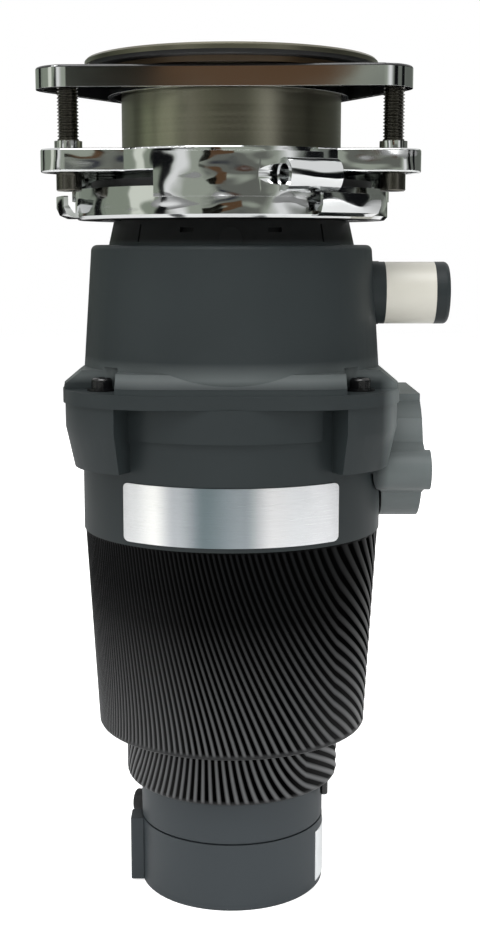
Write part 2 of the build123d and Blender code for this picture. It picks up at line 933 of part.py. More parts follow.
def outlet_block():
    """The outlet drawn along +X and kept clear of the round parts below the casing."""
    facing = Plane(origin=(0, 0, 0), x_dir=(0, 1, 0), z_dir=(1, 0, 0))
    solid = extrude(Pos(outlet_start, 0, 0) * (facing * outlet_outline()), outlet_end - outlet_start)
    half = outlet_lug_spacing / 2
    for side in (-half, half):
        lug = lying(outlet_lug_radius, outlet_start, outlet_lug_end)
        solid += Pos(0, outlet_centre_y + side, outlet_lug_height) * lug
    below = post(band_radius + nameplate_thickness + easy_gap, 0, casing_bottom)
    return solid - below


def chamber_casing():
    casing = post(casing_radius, casing_bottom, parting_height)
    rim = flange_outline(casing_rim_inset)
    rim_low = parting_height - casing_rim_height
    corners = extrude(Pos(0, 0, rim_low) * rim, casing_rim_height)
    taper_height = rim_low - corner_bottom
    corners += extrude(Pos(0, 0, rim_low) * rim, taper_height, dir=(0, 0, -1), taper=corner_taper)
    corners -= front_relief() - post(casing_radius, 0, parting_height)
    casing += corners
    panel = block(
        (-front_panel_left, -front_panel_face, parting_height - front_panel_height),
        (front_panel_right, 0, parting_height),
    )
    casing += panel & post(front_panel_face, 0, parting_height)
    casing += outlet_block()
    casing -= ring_bore()
    outlet = Pos(0, outlet_centre_y, outlet_centre_z)
    bore_start = casing_radius + cut_over
    window = outlet * lying(outlet_window_radius, ring_radius, bore_start + cut_over)
    window -= post(2 * casing_radius, 0, floor_top)
    casing -= window
    casing -= outlet * lying(outlet_bore_radius, bore_start, outlet_end)
    for side in (-1, 1):
        hole = lying(outlet_screw_radius, outlet_lug_end - outlet_screw_depth, outlet_lug_end)
        casing -= Pos(0, outlet_centre_y + side * outlet_lug_spacing / 2, outlet_lug_height) * hole
    casing -= ring(
        seal_groove_radius,
        seal_groove_radius + seal_groove_width,
        parting_height - seal_groove_depth,
        parting_height,
    )
    for x in (-screw_half_x, screw_half_x):
        for y in (-screw_half_y, screw_half_y):
            bottom = flange_top + washer_thickness - screw_length - seam_gap
            casing -= Pos(x, y, 0) * post(screw_radius + skin_gap, bottom, parting_height)
    return casing


def front_relief():
    """What is cut from between the two front corners, narrower towards the round casing."""
    wide = screw_half_x - front_relief_margin
    narrow = wide - front_relief_run
    front = -flange_half_y
    back = front + front_relief_depth
    outline = Polyline((-wide, front), (wide, front), (narrow, back), (-narrow, back), close=True)
    return extrude(make_face(outline), parting_height)


def ring_bore():
    """The chamber's inside, with the seat for the shredder ring and the seal's hole."""
    seat = ring_flange_radius + easy_gap
    return turned(
        (0, casing_bottom),
        (seal_radius, casing_bottom),
        (seal_radius, floor_top),
        (casing_bore, floor_top),
        (casing_bore, parting_height - ring_flange_thickness),
        (seat, parting_height - ring_flange_thickness),
        (seat, parting_height),
        (0, parting_height),
    )


def casing_seal():
    return ring(
        seal_groove_radius + skin_gap,
        seal_groove_radius + seal_groove_width - skin_gap,
        parting_height - seal_groove_depth,
        parting_height,
    )


def shredder_ring():
    outer = ring_radius + ring_wall
    shredder = turned(
        (ring_radius, ring_bottom),
        (outer, ring_bottom),
        (outer, parting_height - ring_flange_thickness),
        (ring_flange_radius, parting_height - ring_flange_thickness),
        (ring_flange_radius, parting_height),
        (ring_radius, parting_height),
    )
    slot = block(
        (ring_radius - cut_over, -ring_slot_width / 2, ring_bottom - cut_over),
        (outer + cut_over, ring_slot_width / 2, ring_bottom + ring_slot_height),
    )
    for index in range(ring_slot_count):
        shredder -= Rot(0, 0, 360 / ring_slot_count * index) * slot
    return shredder


def turntable():
    hub_bottom = table_bottom - table_hub_height
    table = turned(
        (shaft_top_radius + skin_gap, hub_bottom),
        (table_hub_radius, hub_bottom),
        (table_hub_radius, table_bottom),
        (table_radius, table_bottom),
        (table_radius, table_top),
        (shaft_top_radius + skin_gap, table_top),
    )
    for index in range(table_hole_count):
        hole = Pos(table_hole_circle, 0, 0) * post(table_hole_radius, table_bottom, table_top)
        table -= Rot(0, 0, 360 / table_hole_count * (index + 0.5)) * hole
    for bearing in (90, 270):
        hole = Pos(impeller_circle, 0, 0) * post(impeller_pin_radius + skin_gap, table_bottom, table_top)
        table -= at_bearing(hole, bearing)
    return table


def turntable_nut():
    hexagon = RegularPolygon(table_nut_flats / 2, 6, major_radius=False)
    nut = Pos(0, 0, table_top) * extrude(hexagon, table_nut_height)
    return nut - post(shaft_top_radius + skin_gap, table_top, table_top + table_nut_height)


def impeller_pins():
    shank_top = table_top + easy_gap + impeller_plate + easy_gap
    pin = post(impeller_pin_radius, table_bottom, shank_top)
    pin += post(impeller_pin_head_radius, shank_top, shank_top + impeller_pin_head_height)
    pins = [at_bearing(Pos(impeller_circle, 0, 0) * pin, bearing) for bearing in (90, 270)]
    return pins[0] + pins[1]


def impeller():
    """One swivel impeller, drawn towards +X with its pin on the impeller circle."""
    bottom = table_top + easy_gap
    arm = SlotCenterToCenter(impeller_reach, 2 * impeller_half_width)
    arm = Pos(impeller_circle + impeller_reach / 2, 0, bottom) * arm
    lug = extrude(arm, impeller_plate)
    tooth = extrude(arm, impeller_tooth_height)
    tooth_start = impeller_circle + impeller_reach + impeller_half_width - impeller_tooth_length
    lug += tooth & block(
        (tooth_start, -impeller_half_width, bottom),
        (casing_bore, impeller_half_width, bottom + impeller_tooth_height),
    )
    bore = post(impeller_pin_radius + 2 * running_gap, bottom, bottom + impeller_plate)
    return lug - Pos(impeller_circle, 0, 0) * bore


def hopper_housing():
    body = turned(
        (0, parting_height),
        (hopper_foot_radius, parting_height),
        (hopper_top_radius, hopper_top),
        (0, hopper_top),
    )
    body = fillet(body.edges().filter_by(GeomType.CIRCLE).sort_by(Axis.Z)[-1], hopper_edge)
    body += extrude(Pos(0, 0, parting_height) * flange_outline(), flange_edge)
    body += extrude(Pos(0, 0, flange_top) * flange_outline(easy_gap), shoulder_edge, taper=flange_draft)
    shoulder = Pos(0, 0, flange_top + shoulder_edge) * flange_outline(2 * easy_gap)
    body += extrude(shoulder, shoulder_rise, taper=shoulder_taper)
    for corner, (x, y) in enumerate(((1, 1), (-1, 1), (-1, -1), (1, -1))):
        place = Pos(x * screw_half_x, y * screw_half_y, 0)
        body -= place * Rot(0, 0, 90 * corner) * screw_pad()
        body -= place * post(screw_radius + easy_gap, parting_height, flange_top)
    body += neck()
    body += Pos(0, 0, inlet_height) * inlet_stub()
    body -= turned(
        (0, parting_height),
        (hopper_bore_foot, parting_height),
        (hopper_bore_top, hopper_top - hopper_lid),
        (neck_bore, hopper_top - hopper_lid),
        (neck_bore, neck_top),
        (0, neck_top),
    )
    return body - Pos(0, 0, inlet_height) * lying(inlet_bore_radius, neck_bore, inlet_end)


def inlet_stub():
    """The hose stub with its stop at the root and the shallow seat of its label."""
    stub = lying(inlet_radius, hopper_bore_top, inlet_end)
    stub = fillet(stub.edges().sort_by(Axis.X)[-1], inlet_edge)
    stub += lying(inlet_stop_radius, hopper_bore_top, inlet_stop_end)
    seat_end = inlet_label_start + inlet_label_length
    seat = lying(inlet_stop_radius, inlet_label_start, seat_end)
    seat -= lying(inlet_label_radius - label_thickness - skin_gap, inlet_label_start, seat_end)
    return stub - seat


def screw_pad():
    """The recess round a casing screw, open on its two outer sides, drawn towards +X and +Y."""
    top = flange_top + screw_pad_height
    reach = 3 * screw_pad_radius
    pad = post(screw_pad_radius, flange_top, top)
    pad += block((0, -screw_pad_radius, flange_top), (reach, reach, top))
    return pad + block((-screw_pad_radius, 0, flange_top), (reach, reach, top))


def neck():
    """The stepped neck above the hopper, with its slits, its notches and its round tab."""
    solid = turned(
        (0, hopper_top),
        (neck_foot_radius, hopper_top),
        (neck_top_radius, neck_shoulder),
        (neck_tube_radius, neck_shoulder),
        (neck_tube_radius, neck_top),
        (0, neck_top),
    )
    tab_middle = hopper_top + neck_tab_rise
    tab = Rot(0, 0, -90) * lying(neck_tab_radius, neck_tube_radius, neck_tab_reach)
    tab = Pos(0, 0, tab_middle) * tab
    tab += block(
        (-neck_tab_radius, -neck_tab_reach, hopper_top), (neck_tab_radius, -neck_tube_radius, tab_middle)
    )
    tab -= post(neck_tab_reach, 0, hopper_top)
    solid += tab
    for bearing in (-neck_slit_bearing, neck_slit_bearing, 180):
        slit = block(
            (neck_top_radius - neck_slit_depth, -neck_slit_width / 2, hopper_top + cut_over),
            (neck_foot_radius + cut_over, neck_slit_width / 2, neck_shoulder - neck_slit_margin),
        )
        solid -= at_bearing(slit, bearing)
    for bearing in (-neck_notch_bearing, neck_notch_bearing):
        middle = hopper_top + neck_height / 2
        notch = block(
            (neck_top_radius - neck_slit_depth, -neck_notch_width / 2, middle),
            (neck_foot_radius + cut_over, neck_notch_width / 2, middle + neck_notch_height),
        )
        solid -= at_bearing(notch, bearing)
    return solid


def casing_screws():
    top = flange_top + washer_thickness
    head = post(screw_head_radius, top, top + screw_head_height)
    head = fillet(head.edges().sort_by(Axis.Z)[-1], screw_head_edge)
    head -= post(screw_head_radius / 3, top + screw_head_height / 2, top + screw_head_height)
    screw = head + post(screw_radius, top - screw_length, top)
    places = [(x, y) for x in (-screw_half_x, screw_half_x) for y in (-screw_half_y, screw_half_y)]
    screws = [Pos(x, y, 0) * screw for x, y in places]
    return screws[0] + screws[1:]


def casing_washers():
    washer = ring(screw_radius + skin_gap, washer_radius, flange_top, flange_top + washer_thickness)
    places = [(x, y) for x in (-screw_half_x, screw_half_x) for y in (-screw_half_y, screw_half_y)]
    washers = [Pos(x, y, 0) * washer for x, y in places]
    return washers[0] + washers[1:]


def knockout_plug():
    plug = lying(inlet_bore_radius - skin_gap, plug_start, plug_start + plug_thickness)
    return Pos(0, 0, inlet_height) * plug


def inlet_label():
    end = inlet_label_start + inlet_label_length
    wrap = lying(inlet_label_radius, inlet_label_start, end)
    wrap -= lying(inlet_label_radius - label_thickness, inlet_label_start, end)
    return Pos(0, 0, inlet_height) * wrap


def hanger_flange():
    return ring(neck_tube_radius + skin_gap, hanger_radius, hanger_bottom, neck_top)


def neck_cushion():
    top = sleeve_groove_bottom - cushion_crown
    return turned(
        (cushion_bore, neck_top),
        (cushion_radius, neck_top),
        (cushion_radius, neck_top + cushion_ledge + cushion_rim),
        (sleeve_radius + easy_gap, top),
        (sleeve_radius + easy_gap, guard_bottom),
        (cushion_bore, guard_bottom),
    )


def splash_guard():
    guard = ring(guard_mouth_radius, guard_radius, guard_bottom, guard_top)
    slit = block(
        (guard_mouth_radius - cut_over, -guard_slit_width / 2, guard_bottom),
        (guard_mouth_radius + guard_slit_length, guard_slit_width / 2, guard_top),
    )
    for index in range(guard_slit_count):
        guard -= Rot(0, 0, 360 / guard_slit_count * index) * slit
    return guard


def sink_flange():
    groove_radius = sleeve_radius - sleeve_groove_depth
    groove_top = sleeve_groove_bottom + sleeve_groove_height
    lip = rim_radius - rim_lip
    return turned(
        (sleeve_bore, sleeve_bottom),
        (sleeve_radius, sleeve_bottom),
        (sleeve_radius, sleeve_groove_bottom),
        (groove_radius, sleeve_groove_bottom),
        (groove_radius, groove_top),
        (sleeve_radius, groove_top),
        (sleeve_radius, rim_bottom - rim_curve),
        (sleeve_radius + 0.15 * rim_curve, rim_bottom - 0.45 * rim_curve),
        (sleeve_radius + 0.5 * rim_curve, rim_bottom - 0.1 * rim_curve),
        (sleeve_radius + rim_curve, rim_bottom),
        (lip, rim_bottom),
        (rim_radius, rim_bottom - rim_droop),
        (rim_radius, rim_top - rim_edge),
        (rim_radius - rim_edge, rim_top),
        (sleeve_radius + rim_curve, rim_top - rim_dip),
        (sleeve_radius + 0.3 * rim_curve, rim_top - 0.3 * rim_curve),
        (sleeve_bore + 0.3 * rim_curve, rim_top - 0.6 * rim_curve),
        (sleeve_bore, rim_top - rim_curve - sleeve_wall / 2),
    )


def rim_seal():
    top = rim_bottom - skin_gap
    return ring(sleeve_radius + rim_curve + easy_gap, rim_seal_radius, top - rim_seal_thickness, top)


def rim_gasket():
    top = rim_bottom - 2 * skin_gap - rim_seal_thickness
    inner = sleeve_radius + 0.15 * rim_curve + easy_gap
    return ring(inner, rim_gasket_radius, top - rim_gasket_thickness, top)


def snap_ring():
    inner = sleeve_radius - sleeve_groove_depth + skin_gap
    bottom = sleeve_groove_bottom + easy_gap / 2
    start = 180 + (360 - snap_ring_sweep) / 2
    return ring_sector(inner, snap_ring_radius, bottom, bottom + snap_ring_thickness, start, snap_ring_sweep)


def lock_ring():
    inner = lock_radius - lock_wall
    lock = turned(
        (lock_web_bore, lock_bottom),
        (lock_radius - lock_edge, lock_bottom),
        (lock_radius, lock_bottom + lock_edge),
        (lock_radius, lock_band_top),
        (inner, lock_band_top),
        (inner, lock_bottom + lock_web_thickness),
        (lock_web_bore, lock_bottom + lock_web_thickness),
    )
    for turn in (0, 120, 240):
        lock += ring_sector(hook_inner, hook_radius, hook_bottom, hook_top, hook_start + turn, hook_sweep)
        lock += ring_sector(
            hook_inner - lip_reach,
            hook_inner + cut_over,
            hook_top - lip_thickness,
            hook_top,
            lip_start + turn,
            lip_sweep,
        )
        lock += lock_lug(lug_start + turn)
    socket = at_socket(lying(socket_radius, -socket_length / 2, socket_length / 2))
    socket -= post(hook_inner, lock_bottom, hook_top)
    lock += socket
    end = socket_length / 2
    for side in (-1, 1):
        key_way = lying(key_way_radius, 0, key_way_length)
        lock -= at_socket(Pos(side * (end + key_way_length / 2) - key_way_length / 2, 0, 0) * key_way)
    return lock - at_socket(lying(socket_bore, -end, end))


def lock_lug(start):
    """A shelf with an upturned edge that sticks out of the ring."""
    root = lock_radius - cut_over
    outline = (
        (root, lug_bottom),
        (lug_reach - lug_bend, lug_bottom),
        (lug_reach - 0.3 * lug_bend, lug_bottom + 0.3 * lug_bend),
        (lug_reach, lug_bottom + lug_bend),
        (lug_reach, lug_top),
        (lug_reach - lug_wall, lug_top),
        (lug_reach - lug_wall, lug_bottom + lug_bend + lug_wall / 2),
        (lug_reach - lug_bend, lug_bottom + lug_wall),
        (root, lug_bottom + lug_wall),
    )
    return turned_sector(outline, start, lug_sweep)


def at_socket(solid):
    """Puts a bar that lies along X on its centre at the wrench socket's place."""
    along = Rot(0, 0, socket_bearing) * solid
    angle = math.radians(socket_bearing)
    return Pos(socket_circle * math.sin(angle), -socket_circle * math.cos(angle), socket_height) * along


def mounting_ring():
    outline = Circle(mount_radius) + ear_outline(screw_circle, mount_ear_radius)
    body = extrude(Pos(0, 0, mount_bottom) * outline, mount_top - mount_bottom)
    outer = body.faces().sort_by(Axis.Z)
    body = fillet(outer[-1].edges() + outer[0].edges(), mount_edge)
    for bearing in ear_bearings:
        boss = post(mount_boss_radius, mount_top - cut_over, mount_top + mount_boss_height)
        body += at_bearing(Pos(screw_circle, 0, 0) * boss, bearing)
        hole = post(thread_radius + running_gap, mount_bottom, mount_top + mount_boss_height)
        body -= at_bearing(Pos(screw_circle, 0, 0) * hole, bearing)
    passage = hook_inner - lip_reach - easy_gap
    ramp_top = hook_top - lip_thickness - easy_gap
    for turn in (0, 120, 240):
        body -= ring_sector(
            passage,
            mount_radius + cut_over,
            mount_bottom,
            mount_top,
            free_start + turn,
            lip_start - free_start - ramp_land,
        )
        body -= ring_sector(
            passage,
            mount_radius + cut_over,
            ramp_top,
            mount_top,
            lip_start + turn - ramp_lead,
            lip_sweep + ramp_lead + ramp_land,
        )
    return body - post(sleeve_radius + easy_gap, mount_bottom, mount_top + mount_boss_height)


def support_flange():
    outline = ear_outline(support_ear_circle, support_ear_radius)
    body = extrude(Pos(0, 0, support_bottom) * outline, support_top - support_bottom)
    body = fillet(body.faces().sort_by(Axis.Z)[-1].edges(), support_edge)
    hollow = ear_outline(support_ear_circle, support_ear_radius - support_wall)
    hollow_height = support_top - support_plate - support_bottom
    cut = extrude(Pos(0, 0, support_bottom) * hollow, hollow_height)
    cut -= post(support_hole_radius + support_wall, support_bottom, support_top)
    body -= cut
    body -= post(support_hole_radius, support_bottom, support_top)
    return Pos(support_shift, 0, 0) * Rot(0, 0, support_turn) * body


def clamp_screw(bearing):
    """One clamp screw: a socket head below the mounting ring and a grooved thread above it."""
    crest = thread_radius
    root = thread_radius - thread_depth
    points = [(0, clamp_head_top - cut_over), (crest, clamp_head_top - cut_over), (crest, thread_bottom)]
    for turn in range(thread_turns):
        low = thread_bottom + turn * thread_pitch
        points.append((root, low + 0.4 * thread_pitch))
        points.append((root, low + 0.6 * thread_pitch))
        points.append((crest, low + 0.95 * thread_pitch))
        points.append((crest, low + thread_pitch))
    points += [(crest, thread_top - screw_tip), (crest - screw_tip, thread_top), (0, thread_top)]
    shank = turned(*points)
    head = post(clamp_head_radius, clamp_head_top - clamp_head_height, clamp_head_top)
    head = fillet(head.edges().sort_by(Axis.Z)[0], clamp_head_edge)
    socket = extrude(RegularPolygon(clamp_head_socket, 6, major_radius=False), clamp_head_socket_depth)
    head -= Pos(0, 0, clamp_head_top - clamp_head_height) * socket
    return at_bearing(Pos(screw_circle, 0, 0) * (shank + head), bearing)


solids = {
    "base_cup": base_cup(),
    "base_plate": base_plate(),
    "base_screws": base_screws(),
    "rectifier_board": rectifier_board(),
    "overload_protector": overload_protector(),
    "reset_button": reset_button(),
    "cable_cover": cable_cover(),
    "cord_gland": cord_gland(),
    "rating_label": rating_label(),
    "lower_cover": lower_cover(),
    "cover_screws": cover_screws(),
    "motor_shell": motor_shell(),
    "trim_band": trim_band(),
    "nameplate": nameplate(),
    "motor_end_cap": motor_end_cap(),
    "lower_bearing": lower_bearing(),
    "motor_can": motor_can(),
    "magnets": magnets(),
    "brush_holders": brush_holders(),
    "carbon_brushes": carbon_brushes(),
    "brush_springs": brush_springs(),
    "bearing_plate": bearing_plate(),
    "upper_bearing": upper_bearing(),
    "through_bolts": through_bolts(),
    "rotor_shaft": rotor_shaft(),
    "armature_core": armature_core(),
    "armature_windings": armature_windings(),
    "commutator": commutator(),
    "shaft_seal": shaft_seal(),
    "chamber_casing": chamber_casing(),
    "casing_seal": casing_seal(),
    "shredder_ring": shredder_ring(),
    "turntable": turntable(),
    "turntable_nut": turntable_nut(),
    "impeller_pins": impeller_pins(),
    "impeller_right": at_bearing(impeller(), 90),
    "impeller_left": at_bearing(impeller(), 270),
    "hopper_housing": hopper_housing(),
    "casing_screws": casing_screws(),
    "casing_washers": casing_washers(),
    "knockout_plug": knockout_plug(),
    "inlet_label": inlet_label(),
    "hanger_flange": hanger_flange(),
    "neck_cushion": neck_cushion(),
    "splash_guard": splash_guard(),
    "sink_flange": sink_flange(),
    "rim_seal": rim_seal(),
    "rim_gasket": rim_gasket(),
    "snap_ring": snap_ring(),
    "lock_ring": lock_ring(),
    "mounting_ring": mounting_ring(),
    "support_flange": support_flange(),
}
for number, bearing in enumerate(ear_bearings, start=1):
    solids["clamp_screw_" + str(number)] = clamp_screw(bearing)

os.makedirs("parts", exist_ok=True)
for name, solid in solids.items():
    export_step(solid, "parts/" + name + ".step")
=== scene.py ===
import json
import math

import bpy
import numpy as np
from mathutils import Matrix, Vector

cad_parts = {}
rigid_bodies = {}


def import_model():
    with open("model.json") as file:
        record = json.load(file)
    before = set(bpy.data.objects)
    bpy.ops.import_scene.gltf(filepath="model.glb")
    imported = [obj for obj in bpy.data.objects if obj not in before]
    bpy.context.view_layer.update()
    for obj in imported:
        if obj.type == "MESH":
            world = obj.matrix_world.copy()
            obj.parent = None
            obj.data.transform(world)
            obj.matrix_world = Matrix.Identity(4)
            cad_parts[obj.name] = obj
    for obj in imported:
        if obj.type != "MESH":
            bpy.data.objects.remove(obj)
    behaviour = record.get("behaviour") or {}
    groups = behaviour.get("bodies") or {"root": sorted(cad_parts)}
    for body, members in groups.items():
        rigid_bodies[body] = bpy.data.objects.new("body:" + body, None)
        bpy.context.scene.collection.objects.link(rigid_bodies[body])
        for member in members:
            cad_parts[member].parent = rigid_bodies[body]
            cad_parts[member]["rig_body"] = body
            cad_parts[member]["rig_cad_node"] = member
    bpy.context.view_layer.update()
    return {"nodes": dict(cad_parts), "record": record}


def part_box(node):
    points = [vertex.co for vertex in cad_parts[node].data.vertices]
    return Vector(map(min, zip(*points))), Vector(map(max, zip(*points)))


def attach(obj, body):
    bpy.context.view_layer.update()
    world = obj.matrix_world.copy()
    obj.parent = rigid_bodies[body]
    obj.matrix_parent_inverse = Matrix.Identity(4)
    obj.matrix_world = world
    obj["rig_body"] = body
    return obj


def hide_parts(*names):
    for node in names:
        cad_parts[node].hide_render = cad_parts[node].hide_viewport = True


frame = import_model()
bpy.ops.object.select_all(action="DESELECT")

# Metres. A bearing is an angle about the motor's axis, 0 at the front and positive towards +X.
MM = 0.001
shell_low, shell_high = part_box("motor_shell")
cover_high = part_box("lower_cover")[1]
cup_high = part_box("base_cup")[1]
collar_radius = cover_high.x - 3.2 * MM
shell_wall = 2.6 * MM
back_land = 3 * MM

# Where painted light, shade and reflections change over the object: the change starts at the first place
# and ends at the second.
neck_shade_rise = (265.5 * MM, 268 * MM)
foot_highlight_rise = (213.5 * MM, 216.5 * MM)
foot_highlight_fall = (217 * MM, 223 * MM)
outlet_painted_light_side = (57 * MM, 62 * MM)
outlet_painted_light_top = (222 * MM, 226 * MM)
ribs_shade_rise = (shell_low.z - 12 * MM, shell_low.z + 66 * MM)
painted_light_left = (-46 * MM, -14 * MM)
painted_light_right = (22 * MM, 46 * MM)
plate_reflection_span = (-40 * MM, 40 * MM)
sleeve_reflection_span = (-45 * MM, 45 * MM)
sleeve_top = (323 * MM, 327 * MM)

# Ribs run as lines of equal phase, one rib to each whole number. With t the bearing in radians and
# v the height below the middle in spans, less a dip times (1 - cos t), the phase is
# across (t, t2, t3) + v down (1, t, t2) + bend (v3, t v2). Past the limits it goes on evenly.
shell_ribs = {
    "middle": shell_low.z + 45.2 * MM,
    "span": 35 * MM,
    "dip": 0.47,
    "limits": (-1.0, 0.8),
    "across": (24.1, -7.5, -2.0),
    "down": (-5.4, -3.3, 1.9),
    "bend": (0.5, -0.8),
    "relief": 0.45 * MM,
}
collar_ribs = {
    "middle": shell_low.z - 9.5 * MM,
    "span": 6.3 * MM,
    "dip": 2.7,
    "limits": (-1.0, 0.75),
    "across": (14.9, -3.2, -3.2),
    "down": (-0.34, -1.42, 0.0),
    "bend": (0.0, 0.0),
    "relief": 0.45 * MM,
}


def colour(red, green, blue):
    """Display values from 0 to 255 as a linear colour."""
    shares = [value / 255 for value in (red, green, blue)]
    dark_limit = 10 / 255
    linear = [((c + 0.055) / 1.055) ** 2.4 if c > dark_limit else c / 12.92 for c in shares]
    return (*linear, 1.0)


# Shader helpers and the effects that several finishes share


def new_node(tree, kind, x=0, y=0, **settings):
    node = tree.nodes.new(kind)
    node.location = (x, y)
    for name, value in settings.items():
        setattr(node, name, value)
    return node


def join(tree, value, socket):
    """Links an output to a socket, or gives the socket a plain value."""
    if isinstance(value, bpy.types.NodeSocket):
        tree.links.new(value, socket)
    else:
        socket.default_value = value


def mix_colours(tree, factor, first, second, x=0, y=0):
    """A colour mix between two sockets or plain colours."""
    node = new_node(tree, "ShaderNodeMix", x, y, data_type="RGBA")
    for index, value in zip((0, 6, 7), (factor, first, second)):
        join(tree, value, node.inputs[index])
    return node.outputs[2]


def work_out(tree, operation, values, x=0, y=0):
    """One sum over sockets or plain numbers."""
    node = new_node(tree, "ShaderNodeMath", x, y, operation=operation)
    for value, socket in zip(values, node.inputs):
        join(tree, value, socket)
    return node.outputs[0]


def place_on_object(tree, x=0, y=0):
    """The place on the object as three sockets, X, Y and Z."""
    place = new_node(tree, "ShaderNodeTexCoord", x, y)
    split = new_node(tree, "ShaderNodeSeparateXYZ", x + 200, y)
    tree.links.new(place.outputs["Object"], split.inputs[0])
    return split.outputs


def stretch(tree, value, low, high, to_low, to_high, x=0, y=0):
    """Maps a value from one range to another and stops at its ends."""
    node = new_node(tree, "ShaderNodeMapRange", x, y)
    tree.links.new(value, node.inputs[0])
    for index, number in zip((1, 2, 3, 4), (low, high, to_low, to_high)):
        node.inputs[index].default_value = number
    return node.outputs[0]


def effect_group(name, inputs):
    """An empty effect that puts out a colour, a roughness and a normal."""
    group = bpy.data.node_groups.new(name, "ShaderNodeTree")
    outputs = (
        ("Colour", "NodeSocketColor"),
        ("Roughness", "NodeSocketFloat"),
        ("Normal", "NodeSocketVector"),
    )
    for side, sockets in (("INPUT", inputs), ("OUTPUT", outputs)):
        for socket, kind in sockets:
            group.interface.new_socket(socket, in_out=side, socket_type=kind)
    into = new_node(group, "NodeGroupInput", -900)
    out = new_node(group, "NodeGroupOutput", 600)
    return group, into.outputs, out.inputs


def finish_effect(group, into, out, sway, rough_sway, height, depth):
    """Lets sway, from -1 to 1, change the shade and the roughness, and height raise the surface."""
    shade = work_out(group, "MULTIPLY_ADD", (sway, into["Shade Spread"], 1), -200, 300)
    tint = new_node(group, "ShaderNodeVectorMath", 0, 300, operation="SCALE")
    join(group, into["Colour"], tint.inputs[0])
    join(group, shade, tint.inputs["Scale"])
    join(group, tint.outputs[0], out["Colour"])
    rough = work_out(group, "MULTIPLY_ADD", (sway, rough_sway, into["Roughness"]))
    join(group, rough, out["Roughness"])
    bump = new_node(group, "ShaderNodeBump", 200, -200)
    join(group, 1, bump.inputs["Strength"])
    join(group, depth, bump.inputs["Distance"])
    join(group, height, bump.inputs["Height"])
    join(group, bump.outputs[0], out["Normal"])


def moulded_grain_group():
    """Fine spark-eroded grain with broad, faint changes of shade."""
    group, into, out = effect_group("moulded_grain", (
        ("Colour", "NodeSocketColor"),
        ("Shade Spread", "NodeSocketFloat"),
        ("Roughness", "NodeSocketFloat"),
        ("Grain Scale", "NodeSocketFloat"),
        ("Grain Depth", "NodeSocketFloat"),
    ))
    place = new_node(group, "ShaderNodeTexCoord", -900, -300)
    broad = new_node(group, "ShaderNodeTexNoise", -600, 200)
    join(group, place.outputs["Object"], broad.inputs["Vector"])
    join(group, 22, broad.inputs["Scale"])
    join(group, 4, broad.inputs["Detail"])
    fine = new_node(group, "ShaderNodeTexNoise", -600, -200)
    join(group, place.outputs["Object"], fine.inputs["Vector"])
    join(group, into["Grain Scale"], fine.inputs["Scale"])
    join(group, 3, fine.inputs["Detail"])
    sway = stretch(group, broad.outputs[0], 0.3, 0.7, -1, 1, -400, 200)
    finish_effect(group, into, out, sway, 0.04, fine.outputs[0], into["Grain Depth"])
    return group


def brushed_lines_group():
    """Fine lines drawn along one direction, given by a squeezed coordinate."""
    group, into, out = effect_group("brushed_lines", (
        ("Vector", "NodeSocketVector"),
        ("Colour", "NodeSocketColor"),
        ("Shade Spread", "NodeSocketFloat"),
        ("Roughness", "NodeSocketFloat"),
        ("Depth", "NodeSocketFloat"),
    ))
    lines = new_node(group, "ShaderNodeTexNoise", -600)
    join(group, into["Vector"], lines.inputs["Vector"])
    join(group, 1, lines.inputs["Scale"])
    join(group, 5, lines.inputs["Detail"])
    join(group, 0.6, lines.inputs["Roughness"])
    sway = stretch(group, lines.outputs[0], 0.25, 0.75, -1, 1, -400)
    finish_effect(group, into, out, sway, 0.06, lines.outputs[0], into["Depth"])
    return group


moulded_grain = moulded_grain_group()
brushed_lines = brushed_lines_group()


def new_material(name):
    material = bpy.data.materials.new(name)
    material.use_nodes = True
    return material, material.node_tree, material.node_tree.nodes["Principled BSDF"]


def add_effect(tree, shader, group, **values):
    """Puts an effect before the shader. A value is a number, a colour or a socket."""
    effect = new_node(tree, "ShaderNodeGroup", -300, node_tree=group)
    for name, value in values.items():
        join(tree, value, effect.inputs[name.replace("_", " ").title()])
    for name, socket in (("Colour", "Base Color"), ("Roughness", "Roughness"), ("Normal", "Normal")):
        tree.links.new(effect.outputs[name], shader.inputs[socket])


def grained(name, base, roughness, spread=0.06, scale=2600, depth=0.00002, metallic=0.0, specular=0.5):
    """A moulded or cast finish with a fine even grain."""
    material, tree, shader = new_material(name)
    add_effect(
        tree, shader, moulded_grain,
        colour=base, shade_spread=spread, roughness=roughness, grain_scale=scale, grain_depth=depth,
    )
    shader.inputs["Metallic"].default_value = metallic
    shader.inputs["Specular IOR Level"].default_value = specular
    return material


def brushed(name, base, roughness, spread, depth, squeeze, around=False):
    """A brushed metal. squeeze sets how fine the lines are along X, Y and Z."""
    material, tree, shader = new_material(name)
    place = new_node(tree, "ShaderNodeTexCoord", -1100)
    if around:
        flat = new_node(tree, "ShaderNodeVectorMath", -900, 0, operation="MULTIPLY")
        flat.inputs[1].default_value = (1, 1, 0)
        tree.links.new(place.outputs["Object"], flat.inputs[0])
        radius = new_node(tree, "ShaderNodeVectorMath", -800, 0, operation="LENGTH")
        tree.links.new(flat.outputs[0], radius.inputs[0])
        joined = new_node(tree, "ShaderNodeCombineXYZ", -700)
        tree.links.new(radius.outputs["Value"], joined.inputs[0])
        tree.links.new(place_on_object(tree, -1100, -200)["Z"], joined.inputs[2])
        source = joined.outputs[0]
    else:
        source = place.outputs["Object"]
    squeezed = new_node(tree, "ShaderNodeMapping", -500)
    squeezed.inputs["Scale"].default_value = squeeze
    tree.links.new(source, squeezed.inputs["Vector"])
    add_effect(
        tree, shader, brushed_lines,
        vector=squeezed.outputs[0], colour=base, shade_spread=spread, roughness=roughness, depth=depth,
    )
    shader.inputs["Metallic"].default_value = 1.0
    return material


